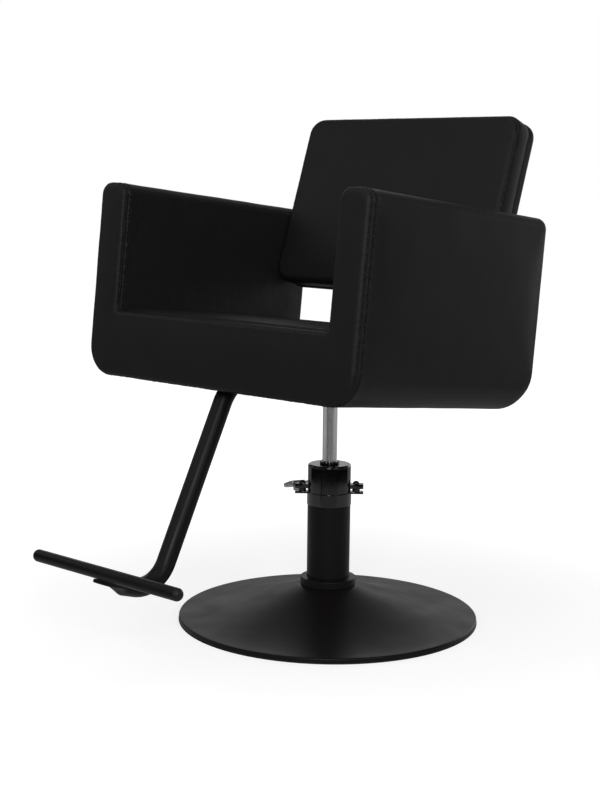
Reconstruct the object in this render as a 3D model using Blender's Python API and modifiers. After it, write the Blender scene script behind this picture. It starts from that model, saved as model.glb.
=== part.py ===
"""Hairdressing chair: a U-shaped upholstered seat on a foot-pumped hydraulic column.

The origin lies on the floor at the column's axis. The chair faces -Y, +X is the sitter's left
and +Z is up. Lengths are in metres.
"""

import math

import bmesh
import bpy
from mathutils import Matrix, Vector

MM = 0.001
FIT = 0.3 * MM  # clearance between two pieces that touch
MERGE = 0.001 * MM  # points this near are one point
SMOOTH_ANGLE = math.radians(35)  # flatter edges than this are shaded smooth

# Facets of turned pieces, by size, and of one rounded corner
DISH_STEPS = 48
COLUMN_STEPS = 32
SMALL_STEPS = 16
CORNER_STEPS = 4

# Base: a flat steel plate under a spun dish with a rubber edge
BASE_RADIUS = 290 * MM
PLATE_THICK = 8 * MM
DISH_WALL = 2.5 * MM
DISH_EDGE = 3 * MM
DISH_TOP = 69 * MM
DISH_POWER = 1.5
DISH_POINTS = 7
TRIM_HEIGHT = 3 * MM
TRIM_LIP = 0.8 * MM
TRIM_WIDTH = 8 * MM

# Column: foot, sleeve, collar and the band that carries the pump head
COLUMN_RADIUS = 41.5 * MM
COLUMN_WALL = 2.5 * MM
COLUMN_TOP = 227 * MM
FOOT_RADIUS = 75 * MM
FOOT_THICK = 10 * MM
FOOT_SPIGOT = 12 * MM
FOOT_BOLT_CIRCLE = 58 * MM
FOOT_BOLTS = 3
COLLAR_RADIUS = 54 * MM
COLLAR_HEIGHT = 15 * MM
COLLAR_CONE = 2 * MM
COLLAR_NECK = 3 * MM
BAND_RADIUS = 42.7 * MM
BAND_HEIGHT = 25.7 * MM

# Pump head and its two bolted ears; the pump is turned in the photographed pose
PUMP_TURN = math.radians(41.2)
HEAD_RADIUS = 41.5 * MM
HEAD_TOP = 307 * MM
HEAD_EDGE = 4 * MM
HEAD_SPIGOT = 12 * MM
EAR_REACH = 66 * MM
EAR_DEPTH = 16 * MM
EAR_GAP = 5.6 * MM
UPPER_EAR = 9 * MM
LOWER_EAR = 4.5 * MM
EAR_BOLT_OUT = 52 * MM
EAR_POST_RADIUS = 7.5 * MM
EAR_BOLT_HEAD = 6.5 * MM
EAR_BOLT_DOME = 5.5 * MM
M8_RADIUS = 4 * MM

# Cylinder, guide and lifting rod
CYLINDER_BORE = 19 * MM
CYLINDER_WALL = 5 * MM
BUSH_WALL = 3 * MM
BUSH_LEDGE = 2.5 * MM
BUSH_LENGTH = 70 * MM
GLAND_RADIUS = 19 * MM
GLAND_HEIGHT = 5 * MM
ROD_RADIUS = 14 * MM
ROD_SPIGOT = 8 * MM
JOURNAL_RADIUS = 11 * MM
JOURNAL_LENGTH = 50 * MM
PISTON_HEIGHT = 25 * MM
SEAL_HEIGHT = 5 * MM
SEAL_DEPTH = 2 * MM
LIFT_UP = 45 * MM
END_GAP = 3 * MM

# Pedal, plunger and return spring, on the pump's far side
PEDAL_TURN = math.radians(115)
PEDAL_PIVOT_OUT = 52 * MM
PEDAL_PIVOT_HEIGHT = 266 * MM
PEDAL_SLOPE = math.radians(19.5)
PEDAL_TRAVEL = math.radians(16)
LEVER_REACH = 118 * MM
LEVER_WIDTH = 10 * MM
LEVER_HEIGHT = 10 * MM
LEVER_BOSS = 8.5 * MM
LEVER_PLAY = 1 * MM
NOSE_REACH = 22 * MM
CHEEK_THICK = 7 * MM
CHEEK_RADIUS = 9.5 * MM
PIN_RADIUS = 4 * MM
PIN_PROUD = 1.5 * MM
PAD_LENGTH = 50 * MM
PAD_WIDTH = 36 * MM
PAD_THICK = 8 * MM
PAD_OVERHANG = 28 * MM
PAD_NOSE = 16 * MM
PLUNGER_RADIUS = 5 * MM
PLUNGER_LENGTH = 17 * MM
SPRING_LENGTH = 14 * MM
SPRING_WIRE = 0.6 * MM
SPRING_TURNS = 4
SPRING_POINTS = 10

# Swivel hub and the plate under the seat
HUB_DROP = 21 * MM
HUB_RADIUS = 27 * MM
HUB_TOP_RADIUS = 33 * MM
HUB_NECK = 30 * MM
WASHER_THICK = 3 * MM
WASHER_RADIUS = 18 * MM
SEAT_PLATE_WIDTH = 190 * MM
SEAT_PLATE_LENGTH = 160 * MM
SEAT_PLATE_THICK = 4 * MM
SEAT_PLATE_CORNER = 18 * MM
PLATE_BOLT_X = 75 * MM
PLATE_BOLT_Y = 60 * MM

# Seat shell, measured along the raked seat from its underside on the axis
SEAT_UNDERSIDE = 445 * MM
SEAT_RAKE = math.radians(6.4)
SHELL_WIDTH = 661 * MM
SHELL_FRONT = 331 * MM
SHELL_REAR = 196 * MM
ARM_HEIGHT = 361 * MM
ARM_THICK = 67 * MM
ARM_TOP_ROUND = 22 * MM
ARM_LOW_ROUND = 57 * MM
ARM_REAR_LOW = 42 * MM
ARM_REAR_TOP = 14 * MM
ARM_REAR_EDGE = 14 * MM
ARM_CROWN = 4 * MM
ARM_STATIONS = 4
ARM_REAR_STATIONS = 6
ARM_BOARD = 18 * MM
ARM_BOARD_RISE = 30 * MM
ARM_BOARD_COVER = 24 * MM
ARM_BOARD_REAR = 40 * MM
ARM_BOARD_ROUND = 70 * MM
FRONT_PAD = 15 * MM
FRONT_PAD_ROUND = 7 * MM
FRONT_BOARD = 8 * MM
FRONT_BOARD_INSET = 14 * MM
SEAT_FRONT_TOP = 123 * MM
SEAT_FRONT_CORNER = 9 * MM
SEAT_BOARD = 15 * MM
SEAT_BOARD_RISE = 44 * MM
SEAT_BOARD_REAR = 156 * MM
CUSHION_TOP = 125 * MM
CUSHION_CROWN = 9 * MM
CUSHION_CORNER = 12 * MM
CUSHION_ROUND = 12 * MM
CUSHION_WAIST = 3 * MM
CROWN_SHAPE = ((0.58, 5), (0.9, 10), (1.0, 15))  # share of the crown, and edge rounds in from the edge
CUSHION_REAR = 161 * MM
REAR_PANEL_TOP = 120 * MM
REAR_PANEL_LOW = 24 * MM
REAR_PANEL_ROUND = 8 * MM

# Backrest: cushion, board and rear cover, leaning back from the seat's own upright
BACK_SIDE_GAP = 0.5 * MM
BACK_HEIGHT = 349 * MM
BACK_LEAN = math.radians(12.1)
BACK_FOOT_Y = 92 * MM
BACK_FOOT_RISE = 210 * MM
BACK_CORNER = 33 * MM
BACK_PAD = 46 * MM
BACK_CROWN = 7 * MM
BACK_ROUND = 7 * MM
BACK_BOARD = 12 * MM
BACK_BOARD_INSET = 14 * MM
BACK_COVER = 15 * MM
COVER_ROUND = 4 * MM
BRACKET_X = 95 * MM
BRACKET_WIDTH = 40 * MM
BRACKET_THICK = 6 * MM
BRACKET_LEG = 70 * MM
BRACKET_RISE = 160 * MM
BRACKET_BEND = 12 * MM
BRACKET_CRANK = 130 * MM
BRACKET_DROP = 14 * MM
BRACKET_BOLT_IN = 25 * MM
BACK_BOLT_RISE = 110 * MM
BACK_BOLT_HEAD = 7 * MM
BACK_BOLT_CONE = 3 * MM
BACK_BOLT_SINK = 1 * MM

# Footrest: bent tube with a flattened tongue under a cross bar
TUBE_RADIUS = 17 * MM
TUBE_SIDES = 16
TUBE_BEND_STEPS = 7
TUBE_START = 95 * MM
TUBE_CORNER_Y = 272 * MM
TUBE_LEAN = math.radians(20.6)
TUBE_UPPER_BEND = 75 * MM
TUBE_LOWER_BEND = 62 * MM
TONGUE_SLOPE = math.radians(10.5)
TONGUE_WIDTH = 46 * MM
TONGUE_THICK = 7 * MM
TONGUE_LENGTH = 46 * MM
TONGUE_TIP = 3 * MM
TONGUE_SQUARE = 0.75
TONGUE_FLATNESS = ((0.0, 0.35), (0.15, 0.85), (0.3, 1.0))  # share of its length, and how flat it is
BAR_AHEAD = 533 * MM
BAR_BELOW = 312 * MM
BAR_RADIUS = 11 * MM
BAR_WALL = 2 * MM
BAR_LENGTH = 372 * MM
CAP_LENGTH = 10 * MM
CAP_PLUG = 14 * MM
SADDLE_THICK = 3 * MM
SADDLE_LENGTH = 70 * MM
SADDLE_EAR = 20 * MM
SADDLE_MID_Y = 165 * MM
SADDLE_BOLT_Y = 20 * MM

# Hexagon bolts
BOLT_RADIUS = 4 * MM
BOLT_FLATS = 6.5 * MM
BOLT_HEAD = 5 * MM
BOLT_HOLE_SIDES = 12

HALF_TURN = math.pi
QUARTER = math.pi / 2


# Scene and helpers

for old in list(bpy.data.objects):
    bpy.data.objects.remove(old)
PARTS = bpy.data.collections.new("hairdressing_chair")
CUTTERS = bpy.data.collections.new("cutters")
for collection in (PARTS, CUTTERS):
    bpy.context.scene.collection.children.link(collection)


def material(name, colour, roughness, metallic=0.0):
    made = bpy.data.materials.new(name)
    made.use_nodes = True
    shader = made.node_tree.nodes["Principled BSDF"]
    shader.inputs["Base Color"].default_value = (*colour, 1.0)
    shader.inputs["Roughness"].default_value = roughness
    shader.inputs["Metallic"].default_value = metallic
    return made


LEATHERETTE = material("black_leatherette", (0.012, 0.012, 0.013), 0.42)
POWDER = material("satin_black_powder_coat", (0.013, 0.012, 0.012), 0.45)
GLOSS = material("gloss_black_paint", (0.006, 0.006, 0.006), 0.12)
CHROME = material("chrome", (0.62, 0.61, 0.63), 0.1, 1.0)
STEEL = material("zinc_plated_steel", (0.42, 0.42, 0.43), 0.35, 1.0)
BRONZE = material("bronze", (0.45, 0.28, 0.12), 0.4, 1.0)
PLYWOOD = material("plywood", (0.46, 0.31, 0.17), 0.7)
RUBBER = material("black_rubber", (0.015, 0.015, 0.015), 0.8)
PLASTIC = material("black_plastic", (0.016, 0.016, 0.017), 0.55)


def empty(name, location, rotation=(0, 0, 0), parent=None):
    made = bpy.data.objects.new(name, None)
    made.location = location
    made.rotation_euler = rotation
    made.parent = parent
    PARTS.objects.link(made)
    return made


def part(made, look, parent=None, location=(0, 0, 0), rotation=(0, 0, 0), smooth=True):
    """Places a piece in its frame, gives it its material and shades it."""
    made.parent = parent
    made.location = location
    made.rotation_euler = rotation
    made.data.materials.append(look)
    if smooth and made.data.polygons:
        made.data.shade_smooth()
        made.data.set_sharp_from_angle(angle=SMOOTH_ANGLE)
    return made


def new_object(name, mesh):
    made = bpy.data.objects.new(name, mesh)
    PARTS.objects.link(made)
    return made


def from_bmesh(name, shape):
    bmesh.ops.recalc_face_normals(shape, faces=shape.faces)
    mesh = bpy.data.meshes.new(name)
    shape.to_mesh(mesh)
    shape.free()
    return new_object(name, mesh)


def boolean(target, tool, operation):
    """Cuts the tool from the target, or joins it on, and hides the tool."""
    PARTS.objects.unlink(tool)
    CUTTERS.objects.link(tool)
    tool.hide_render = True
    tool.display_type = "WIRE"
    step = target.modifiers.new(tool.name, "BOOLEAN")
    step.operation = operation
    step.solver = "EXACT"
    step.object = tool


def arc(centre, radius, start, end, steps):
    """Points along an arc, both ends included; angles in radians."""
    turn = (end - start) / steps
    return [
        (centre[0] + radius * math.cos(start + turn * i), centre[1] + radius * math.sin(start + turn * i))
        for i in range(steps + 1)
    ]


def rounded(corners, closed=True, steps=CORNER_STEPS):
    """An outline whose (x, y, radius) corners become arcs."""
    count = len(corners)
    points = []
    for i, (x, y, radius) in enumerate(corners):
        here = Vector((x, y))
        if radius <= 0 or (not closed and i in (0, count - 1)):
            points.append((x, y))
            continue
        before = (Vector(corners[i - 1][:2]) - here).normalized()
        after = (Vector(corners[(i + 1) % count][:2]) - here).normalized()
        half = before.angle(after) / 2
        centre = here + (before + after).normalized() * (radius / math.sin(half))
        first = here + before * (radius / math.tan(half)) - centre
        last = here + after * (radius / math.tan(half)) - centre
        start = math.atan2(first.y, first.x)
        turn = math.atan2(last.y, last.x) - start
        turn = (turn + HALF_TURN) % (2 * HALF_TURN) - HALF_TURN
        points += arc(centre, radius, start, start + turn, steps)
    return points


def turned(name, profile, steps, closed=True):
    """A profile of (radius, height) points, turned about Z. It runs down its outer side."""
    mesh = bpy.data.meshes.new(name)
    chain = [(i, i + 1) for i in range(len(profile) - 1)]
    if closed:
        chain.append((len(profile) - 1, 0))
    mesh.from_pydata([(radius, 0, height) for radius, height in profile], chain, [])
    made = new_object(name, mesh)
    screw = made.modifiers.new("turn", "SCREW")
    screw.axis = "Z"
    screw.steps = screw.render_steps = steps
    screw.use_merge_vertices = True
    screw.merge_threshold = MERGE
    screw.use_smooth_shade = True
    return made


def ring(inner, outer, low, high):
    """The profile of a plain ring."""
    return [(outer, high), (outer, low), (inner, low), (inner, high)]


def extruded(name, outlines, thickness, rim_round=0.0):
    """A flat outline in XY, with any holes, given a thickness along Z; its +Z rim can be rounded."""
    curve = bpy.data.curves.new(name, "CURVE")
    curve.dimensions = "2D"
    curve.fill_mode = "BOTH"
    curve.extrude = thickness / 2
    for outline in outlines:
        spline = curve.splines.new("POLY")
        spline.points.add(len(outline) - 1)
        for point, (x, y) in zip(spline.points, outline):
            point.co = (x, y, 0, 1)
        spline.use_cyclic_u = True
    guide = bpy.data.objects.new(name, curve)
    PARTS.objects.link(guide)
    graph = bpy.context.evaluated_depsgraph_get()
    mesh = bpy.data.meshes.new_from_object(guide.evaluated_get(graph))
    bpy.data.objects.remove(guide)
    bpy.data.curves.remove(curve)
    shape = bmesh.new()
    shape.from_mesh(mesh)
    bpy.data.meshes.remove(mesh)
    bmesh.ops.remove_doubles(shape, verts=shape.verts, dist=MERGE)
    bmesh.ops.dissolve_limit(shape, angle_limit=math.radians(0.1), verts=shape.verts, edges=shape.edges)
    if rim_round:
        high = thickness / 2 - MERGE
        rim = [
            edge
            for edge in shape.edges
            if min(vert.co.z for vert in edge.verts) > high and edge.calc_face_angle() > QUARTER / 2
        ]
        bmesh.ops.bevel(
            shape, geom=rim, offset=rim_round, segments=3, profile=0.5, affect="EDGES", clamp_overlap=True
        )
    return from_bmesh(name, shape)


def lofted(name, sections):
    """A closed solid through sections that have the same number of points."""
    shape = bmesh.new()
    loops = [[shape.verts.new(point) for point in section] for section in sections]
    count = len(loops[0])
    for low, high in zip(loops, loops[1:]):
        for i in range(count):
            j = (i + 1) % count
            shape.faces.new((low[i], low[j], high[j], high[i]))
    shape.faces.new(loops[0])
    shape.faces.new(loops[-1])
    return from_bmesh(name, shape)


def block(name, low, high, edge=0.0):
    """A box between two corners, with its edges rounded by a Bevel."""
    low, high = Vector(low), Vector(high)
    shape = bmesh.new()
    bmesh.ops.create_cube(shape, size=1)
    bmesh.ops.scale(shape, vec=high - low, verts=shape.verts)
    bmesh.ops.translate(shape, vec=(low + high) / 2, verts=shape.verts)
    made = from_bmesh(name, shape)
    if edge:
        bevel = made.modifiers.new("edges", "BEVEL")
        bevel.width = edge
        bevel.segments = 2
    return made


def drill(target, name, places, radius, low, high, turn=None, parent=None):
    """Cuts round holes along Z between two heights, at each (x, y) place, all with one cutter."""
    shape = bmesh.new()
    for x, y in places:
        bmesh.ops.create_cone(
            shape,
            cap_ends=True,
            segments=BOLT_HOLE_SIDES,
            radius1=radius,
            radius2=radius,
            depth=high - low,
            matrix=Matrix.Translation((x, y, (low + high) / 2)),
        )
    tool = from_bmesh(name, shape)
    tool.parent = parent or target.parent
    if turn:
        tool.rotation_euler = turn
    boolean(target, tool, "DIFFERENCE")


def hex_bolt(name, reach):
    """A hexagon bolt with its head below Z = 0 and its shank up to the reach."""
    corner = BOLT_FLATS / math.cos(QUARTER / 3)
    turns = [i * HALF_TURN / 6 for i in range(12)]

    def level(height, even, odd):
        return [
            ((odd if i % 2 else even) * math.cos(a), (odd if i % 2 else even) * math.sin(a), height)
            for i, a in enumerate(turns)
        ]

    return lofted(
        name,
        [
            level(-BOLT_HEAD, corner, BOLT_FLATS),
            level(0, corner, BOLT_FLATS),
            level(0, BOLT_RADIUS, BOLT_RADIUS),
            level(reach, BOLT_RADIUS, BOLT_RADIUS),
        ],
    )


def cushion(name, half_x, half_y, corner, levels):
    """A padded block from (height, inset) levels, each a rounded rectangle drawn in by its inset."""
    sections = []
    for height, inset in levels:
        x, y = half_x - inset, half_y - inset
        radius = max(corner - inset, corner / 4)
        outline = rounded([(x, -y, radius), (x, y, radius), (-x, y, radius), (-x, -y, radius)])
        sections.append([(px, py, height) for px, py in outline])
    return lofted(name, sections)


def roll(top, edge):
    """Levels of a rounded top edge, up to the given height."""
    return [(top - edge, 0), (top - edge / 3, edge / 3), (top, edge)]


def crown(top, rise, edge):
    """Levels of a cushion's crown, inside its rounded edge."""
    return [(top + rise * share, edge * rounds) for share, rounds in CROWN_SHAPE]


def round_in(past, radius):
    """How far a rounded edge has drawn in, this far past the start of its arc."""
    return radius - math.sqrt(max(radius**2 - max(past, 0) ** 2, 0))


# Base

rim_top = PLATE_THICK + FIT + DISH_WALL
plate_radius = BASE_RADIUS - DISH_WALL - FIT
trim_inner = BASE_RADIUS + TRIM_LIP - TRIM_WIDTH

base_plate = part(
    turned(
        "base_plate",
        [
            (0, PLATE_THICK),
            (plate_radius, PLATE_THICK),
            (plate_radius, TRIM_HEIGHT + FIT),
            (trim_inner - FIT, TRIM_HEIGHT + FIT),
            (trim_inner - FIT, 0),
            (0, 0),
        ],
        DISH_STEPS,
        closed=False,
    ),
    STEEL,
)
edge_trim = part(
    turned("edge_trim", ring(trim_inner, BASE_RADIUS + TRIM_LIP, 0, TRIM_HEIGHT), DISH_STEPS), RUBBER
)


def dish_height(radius):
    """Height of the dish's upper surface, a trumpet curve from the collar out to the rim."""
    share = (radius - COLLAR_RADIUS) / (BASE_RADIUS - DISH_EDGE - COLLAR_RADIUS)
    return rim_top + (DISH_TOP - rim_top) * (1 - min(max(share, 0), 1)) ** DISH_POWER


def dish_radii(points):
    run = BASE_RADIUS - DISH_EDGE - COLLAR_RADIUS
    return [COLLAR_RADIUS + run * i / points for i in range(points + 1)]


dish_hole = COLUMN_RADIUS + FIT
skirt_low = TRIM_HEIGHT + FIT
skirt_inner = BASE_RADIUS - DISH_WALL
dish_outer = [(radius, dish_height(radius)) for radius in dish_radii(DISH_POINTS)]
dish_edge = arc((BASE_RADIUS - DISH_EDGE, rim_top - DISH_EDGE), DISH_EDGE, QUARTER, 0, 2)[1:]
dish_inner = [(radius, dish_height(radius) - DISH_WALL) for radius in reversed(dish_radii(DISH_POINTS - 3))]
base_dish = part(
    turned(
        "base_dish",
        [(dish_hole, DISH_TOP)]
        + dish_outer
        + dish_edge
        + [(BASE_RADIUS, skirt_low), (skirt_inner, skirt_low), (skirt_inner, rim_top - DISH_WALL)]
        + dish_inner
        + [(dish_hole, DISH_TOP - DISH_WALL)],
        DISH_STEPS,
    ),
    POWDER,
)

# Column

foot_top = PLATE_THICK + FIT + FOOT_THICK
spigot_radius = COLUMN_RADIUS - COLUMN_WALL - FIT
cylinder_low = foot_top + FOOT_SPIGOT + FIT
pump_foot = part(
    turned(
        "pump_foot",
        [
            (0, foot_top + FOOT_SPIGOT),
            (spigot_radius, foot_top + FOOT_SPIGOT),
            (spigot_radius, foot_top),
            (FOOT_RADIUS, foot_top),
            (FOOT_RADIUS, PLATE_THICK + FIT),
            (0, PLATE_THICK + FIT),
        ],
        COLUMN_STEPS,
        closed=False,
    ),
    STEEL,
)
foot_bolt_places = [
    (FOOT_BOLT_CIRCLE * math.cos(a), FOOT_BOLT_CIRCLE * math.sin(a))
    for a in (2 * HALF_TURN * i / FOOT_BOLTS for i in range(FOOT_BOLTS))
]
foot_bolt_low = TRIM_HEIGHT
bolt_hole = BOLT_RADIUS + FIT
for piece in (pump_foot, base_plate):
    drill(piece, f"{piece.name}_holes", foot_bolt_places, bolt_hole, foot_bolt_low - FIT, 2 * foot_top)
for i, (x, y) in enumerate(foot_bolt_places):
    part(
        hex_bolt(f"foot_bolt_{i + 1}", foot_top + FIT - foot_bolt_low),
        STEEL,
        location=(x, y, foot_top + FIT),
        rotation=(HALF_TURN, 0, 0),
        smooth=False,
    )
column_sleeve = part(
    turned(
        "column_sleeve",
        ring(COLUMN_RADIUS - COLUMN_WALL, COLUMN_RADIUS, foot_top + FIT, COLUMN_TOP),
        COLUMN_STEPS,
    ),
    POWDER,
)
collar_low = DISH_TOP + FIT
collar_high = collar_low + COLLAR_HEIGHT
base_collar = part(
    turned(
        "base_collar",
        [
            (COLUMN_RADIUS + COLLAR_NECK, collar_high + COLLAR_CONE),
            (COLLAR_RADIUS - COLLAR_NECK, collar_high),
            (COLLAR_RADIUS, collar_high - COLLAR_NECK / 2),
            (COLLAR_RADIUS, collar_low),
            (COLUMN_RADIUS + FIT, collar_low),
            (COLUMN_RADIUS + FIT, collar_high + COLLAR_CONE),
        ],
        COLUMN_STEPS,
    ),
    POWDER,
)

# Pump head on its band

pump_frame = empty("pump_frame", (0, 0, 0), (0, 0, PUMP_TURN))
band_low = COLUMN_TOP + FIT
band_top = band_low + BAND_HEIGHT
band_inner = COLUMN_RADIUS - COLUMN_WALL
upper_ear_low = band_top + EAR_GAP
upper_ear_top = upper_ear_low + UPPER_EAR
ear_places = [(EAR_BOLT_OUT, 0), (-EAR_BOLT_OUT, 0)]

column_band = part(
    turned("column_band", ring(band_inner, BAND_RADIUS, band_low, band_top), COLUMN_STEPS), GLOSS, pump_frame
)
head_low = COLUMN_TOP - HEAD_SPIGOT
rod_bore = ROD_RADIUS + FIT
bush_outer = rod_bore + BUSH_WALL
bush_low = HEAD_TOP - BUSH_LENGTH
head_inner = bush_outer + FIT
head_top_edge = arc((HEAD_RADIUS - HEAD_EDGE, HEAD_TOP - HEAD_EDGE), HEAD_EDGE, QUARTER, 0, CORNER_STEPS)
pump_head = part(
    turned(
        "pump_head",
        [(head_inner, HEAD_TOP)]
        + head_top_edge
        + [
            (HEAD_RADIUS, band_top + FIT),
            (spigot_radius, band_top + FIT),
            (spigot_radius, head_low),
            (head_inner - BUSH_LEDGE, head_low),
            (head_inner - BUSH_LEDGE, bush_low - FIT),
            (head_inner, bush_low - FIT),
        ],
        COLUMN_STEPS,
    ),
    GLOSS,
    pump_frame,
)
ear_root = (band_inner + BAND_RADIUS) / 2
for side, word in ((1, "left"), (-1, "right")):
    near, far = sorted((side * ear_root, side * EAR_REACH))
    lower = block(
        f"lower_ear_{word}",
        (near, -EAR_DEPTH / 2, band_top - LOWER_EAR),
        (far, EAR_DEPTH / 2, band_top - FIT),
    )
    post = turned(
        f"ear_post_{word}",
        [
            (0, upper_ear_low - FIT),
            (EAR_POST_RADIUS, upper_ear_low - FIT),
            (EAR_POST_RADIUS, band_top - LOWER_EAR / 2),
            (0, band_top - LOWER_EAR / 2),
        ],
        SMALL_STEPS,
        closed=False,
    )
    post.location.x = side * EAR_BOLT_OUT
    near, far = sorted((side * (HEAD_RADIUS - HEAD_EDGE), side * EAR_REACH))
    upper = block(
        f"upper_ear_{word}", (near, -EAR_DEPTH / 2, upper_ear_low), (far, EAR_DEPTH / 2, upper_ear_top)
    )
    for target, tool in ((column_band, lower), (column_band, post), (pump_head, upper)):
        tool.parent = pump_frame
        boolean(target, tool, "UNION")
    bolt_low = band_top - LOWER_EAR + FIT
    dome = arc((0, 0), 1, QUARTER, 0, CORNER_STEPS)
    part(
        turned(
            f"ear_bolt_{word}",
            [(EAR_BOLT_HEAD * x, upper_ear_top + FIT + EAR_BOLT_DOME * z) for x, z in dome]
            + [(M8_RADIUS, upper_ear_top + FIT), (M8_RADIUS, bolt_low), (0, bolt_low)],
            SMALL_STEPS,
            closed=False,
        ),
        GLOSS,
        pump_frame,
        location=(side * EAR_BOLT_OUT, 0, 0),
    )
for piece in (column_band, pump_head):
    drill(piece, f"{piece.name}_ear_holes", ear_places, M8_RADIUS + FIT, band_low + FIT, HEAD_TOP)

rod_bush = part(
    turned("rod_bush", ring(rod_bore, bush_outer, bush_low, HEAD_TOP - FIT), COLUMN_STEPS), BRONZE
)
rod_gland = part(
    turned(
        "rod_gland",
        [
            (GLAND_RADIUS - COLLAR_NECK / 2, HEAD_TOP + FIT + GLAND_HEIGHT),
            (GLAND_RADIUS, HEAD_TOP + FIT + GLAND_HEIGHT / 2),
            (GLAND_RADIUS, HEAD_TOP + FIT),
            (rod_bore, HEAD_TOP + FIT),
            (rod_bore, HEAD_TOP + FIT + GLAND_HEIGHT),
        ],
        COLUMN_STEPS,
    ),
    GLOSS,
)
pump_cylinder = part(
    turned(
        "pump_cylinder",
        ring(CYLINDER_BORE, CYLINDER_BORE + CYLINDER_WALL, cylinder_low, head_low - FIT),
        COLUMN_STEPS,
    ),
    STEEL,
)

# Pedal, plunger and spring. The pedal frame's X points out along the lever and Y is the pivot's axis.

pedal_frame = empty("pedal_frame", (0, 0, PEDAL_PIVOT_HEIGHT), (0, 0, PEDAL_TURN), pump_frame)
pedal_axis = empty("pedal_axis", (PEDAL_PIVOT_OUT, 0, 0), parent=pedal_frame)
nose_radius = LEVER_HEIGHT / 2
nose_rise = NOSE_REACH * math.sin(PEDAL_TRAVEL)
slot_half = LEVER_WIDTH / 2 + LEVER_PLAY
nose_out = PEDAL_PIVOT_OUT - NOSE_REACH
cheek_root = HEAD_RADIUS - HEAD_EDGE

for side, word in ((1, "near"), (-1, "far")):
    cheek = extruded(
        f"pedal_cheek_{word}",
        [
            [(cheek_root, -CHEEK_RADIUS), (PEDAL_PIVOT_OUT, -CHEEK_RADIUS)]
            + arc((PEDAL_PIVOT_OUT, 0), CHEEK_RADIUS, -QUARTER, QUARTER, 2 * CORNER_STEPS)[1:]
            + [(cheek_root, CHEEK_RADIUS)]
        ],
        CHEEK_THICK,
    )
    cheek.parent = pedal_frame
    cheek.rotation_euler = (QUARTER, 0, 0)
    cheek.location = (0, side * (slot_half + CHEEK_THICK / 2), 0)
    boolean(pump_head, cheek, "UNION")

slot_top = nose_rise + nose_radius + LEVER_PLAY
lever_slot = block(
    "lever_slot",
    (nose_out - nose_radius - LEVER_PLAY, -slot_half, -nose_radius - LEVER_PLAY),
    (PEDAL_PIVOT_OUT + CHEEK_RADIUS, slot_half, slot_top),
)
lever_slot.parent = pedal_frame
boolean(pump_head, lever_slot, "DIFFERENCE")
plunger_low = nose_radius + FIT
spring_low = plunger_low + PLUNGER_LENGTH + FIT
spring_high = spring_low + SPRING_LENGTH
drill(
    pump_head,
    "plunger_bore",
    [(nose_out, 0)],
    (PLUNGER_RADIUS + FIT) / math.cos(HALF_TURN / BOLT_HOLE_SIDES),
    slot_top - LEVER_PLAY,
    spring_high + FIT,
    parent=pedal_frame,
)
pin_half = slot_half + CHEEK_THICK + PIN_PROUD
drill(
    pump_head,
    "pin_bore",
    [(PEDAL_PIVOT_OUT, 0)],
    PIN_RADIUS + FIT,
    -2 * pin_half,
    2 * pin_half,
    turn=(QUARTER, 0, 0),
    parent=pedal_frame,
)
pedal_pin = part(
    turned(
        "pedal_pin",
        [(0, pin_half), (PIN_RADIUS, pin_half), (PIN_RADIUS, -pin_half), (0, -pin_half)],
        SMALL_STEPS,
        closed=False,
    ),
    STEEL,
    pedal_axis,
    rotation=(QUARTER, 0, 0),
)
along = Vector((math.cos(PEDAL_SLOPE), -math.sin(PEDAL_SLOPE)))
across = Vector((math.sin(PEDAL_SLOPE), math.cos(PEDAL_SLOPE)))
meet = math.asin(nose_radius / LEVER_BOSS)
tip_top = along * LEVER_REACH + across * nose_radius
tip_low = along * LEVER_REACH - across * nose_radius
pedal_lever = part(
    extruded(
        "pedal_lever",
        [
            arc((-NOSE_REACH, 0), nose_radius, -QUARTER, -3 * QUARTER, 2 * CORNER_STEPS)
            + arc((0, 0), LEVER_BOSS, HALF_TURN - meet, meet - PEDAL_SLOPE, 2 * CORNER_STEPS)
            + [tuple(tip_top), tuple(tip_low)]
            + arc((0, 0), LEVER_BOSS, -meet - PEDAL_SLOPE, meet - HALF_TURN, 2 * CORNER_STEPS),
            arc((0, 0), PIN_RADIUS + FIT, 0, 2 * HALF_TURN, SMALL_STEPS)[:-1],
        ],
        LEVER_WIDTH,
    ),
    CHROME,
    pedal_axis,
    rotation=(QUARTER, 0, 0),
    smooth=False,
)
pad_mid = LEVER_REACH + PAD_OVERHANG - PAD_LENGTH / 2
pad_lift = nose_radius + FIT + PAD_THICK / 2
pad_place = along * pad_mid + across * pad_lift
pad_half = PAD_LENGTH / 2
pad_side = PAD_WIDTH / 2
pedal_pad = part(
    extruded(
        "pedal_pad",
        [
            rounded(
                [
                    (pad_half, -pad_side, PAD_NOSE),
                    (pad_half, pad_side, PAD_NOSE),
                    (-pad_half, pad_side, PAD_THICK),
                    (-pad_half, -pad_side, PAD_THICK),
                ]
            )
        ],
        PAD_THICK,
        rim_round=PAD_THICK / 3,
    ),
    CHROME,
    pedal_axis,
    location=(pad_place.x, 0, pad_place.y),
    rotation=(0, PEDAL_SLOPE, 0),
)
plunger = part(
    turned(
        "pump_plunger",
        [
            (0, spring_low - FIT),
            (PLUNGER_RADIUS, spring_low - FIT),
            (PLUNGER_RADIUS, plunger_low),
            (0, plunger_low),
        ],
        SMALL_STEPS,
        closed=False,
    ),
    STEEL,
    pedal_frame,
    location=(nose_out, 0, 0),
)
coil_radius = PLUNGER_RADIUS - SPRING_WIRE - FIT
coil_rise = SPRING_LENGTH - 2 * SPRING_WIRE
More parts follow.
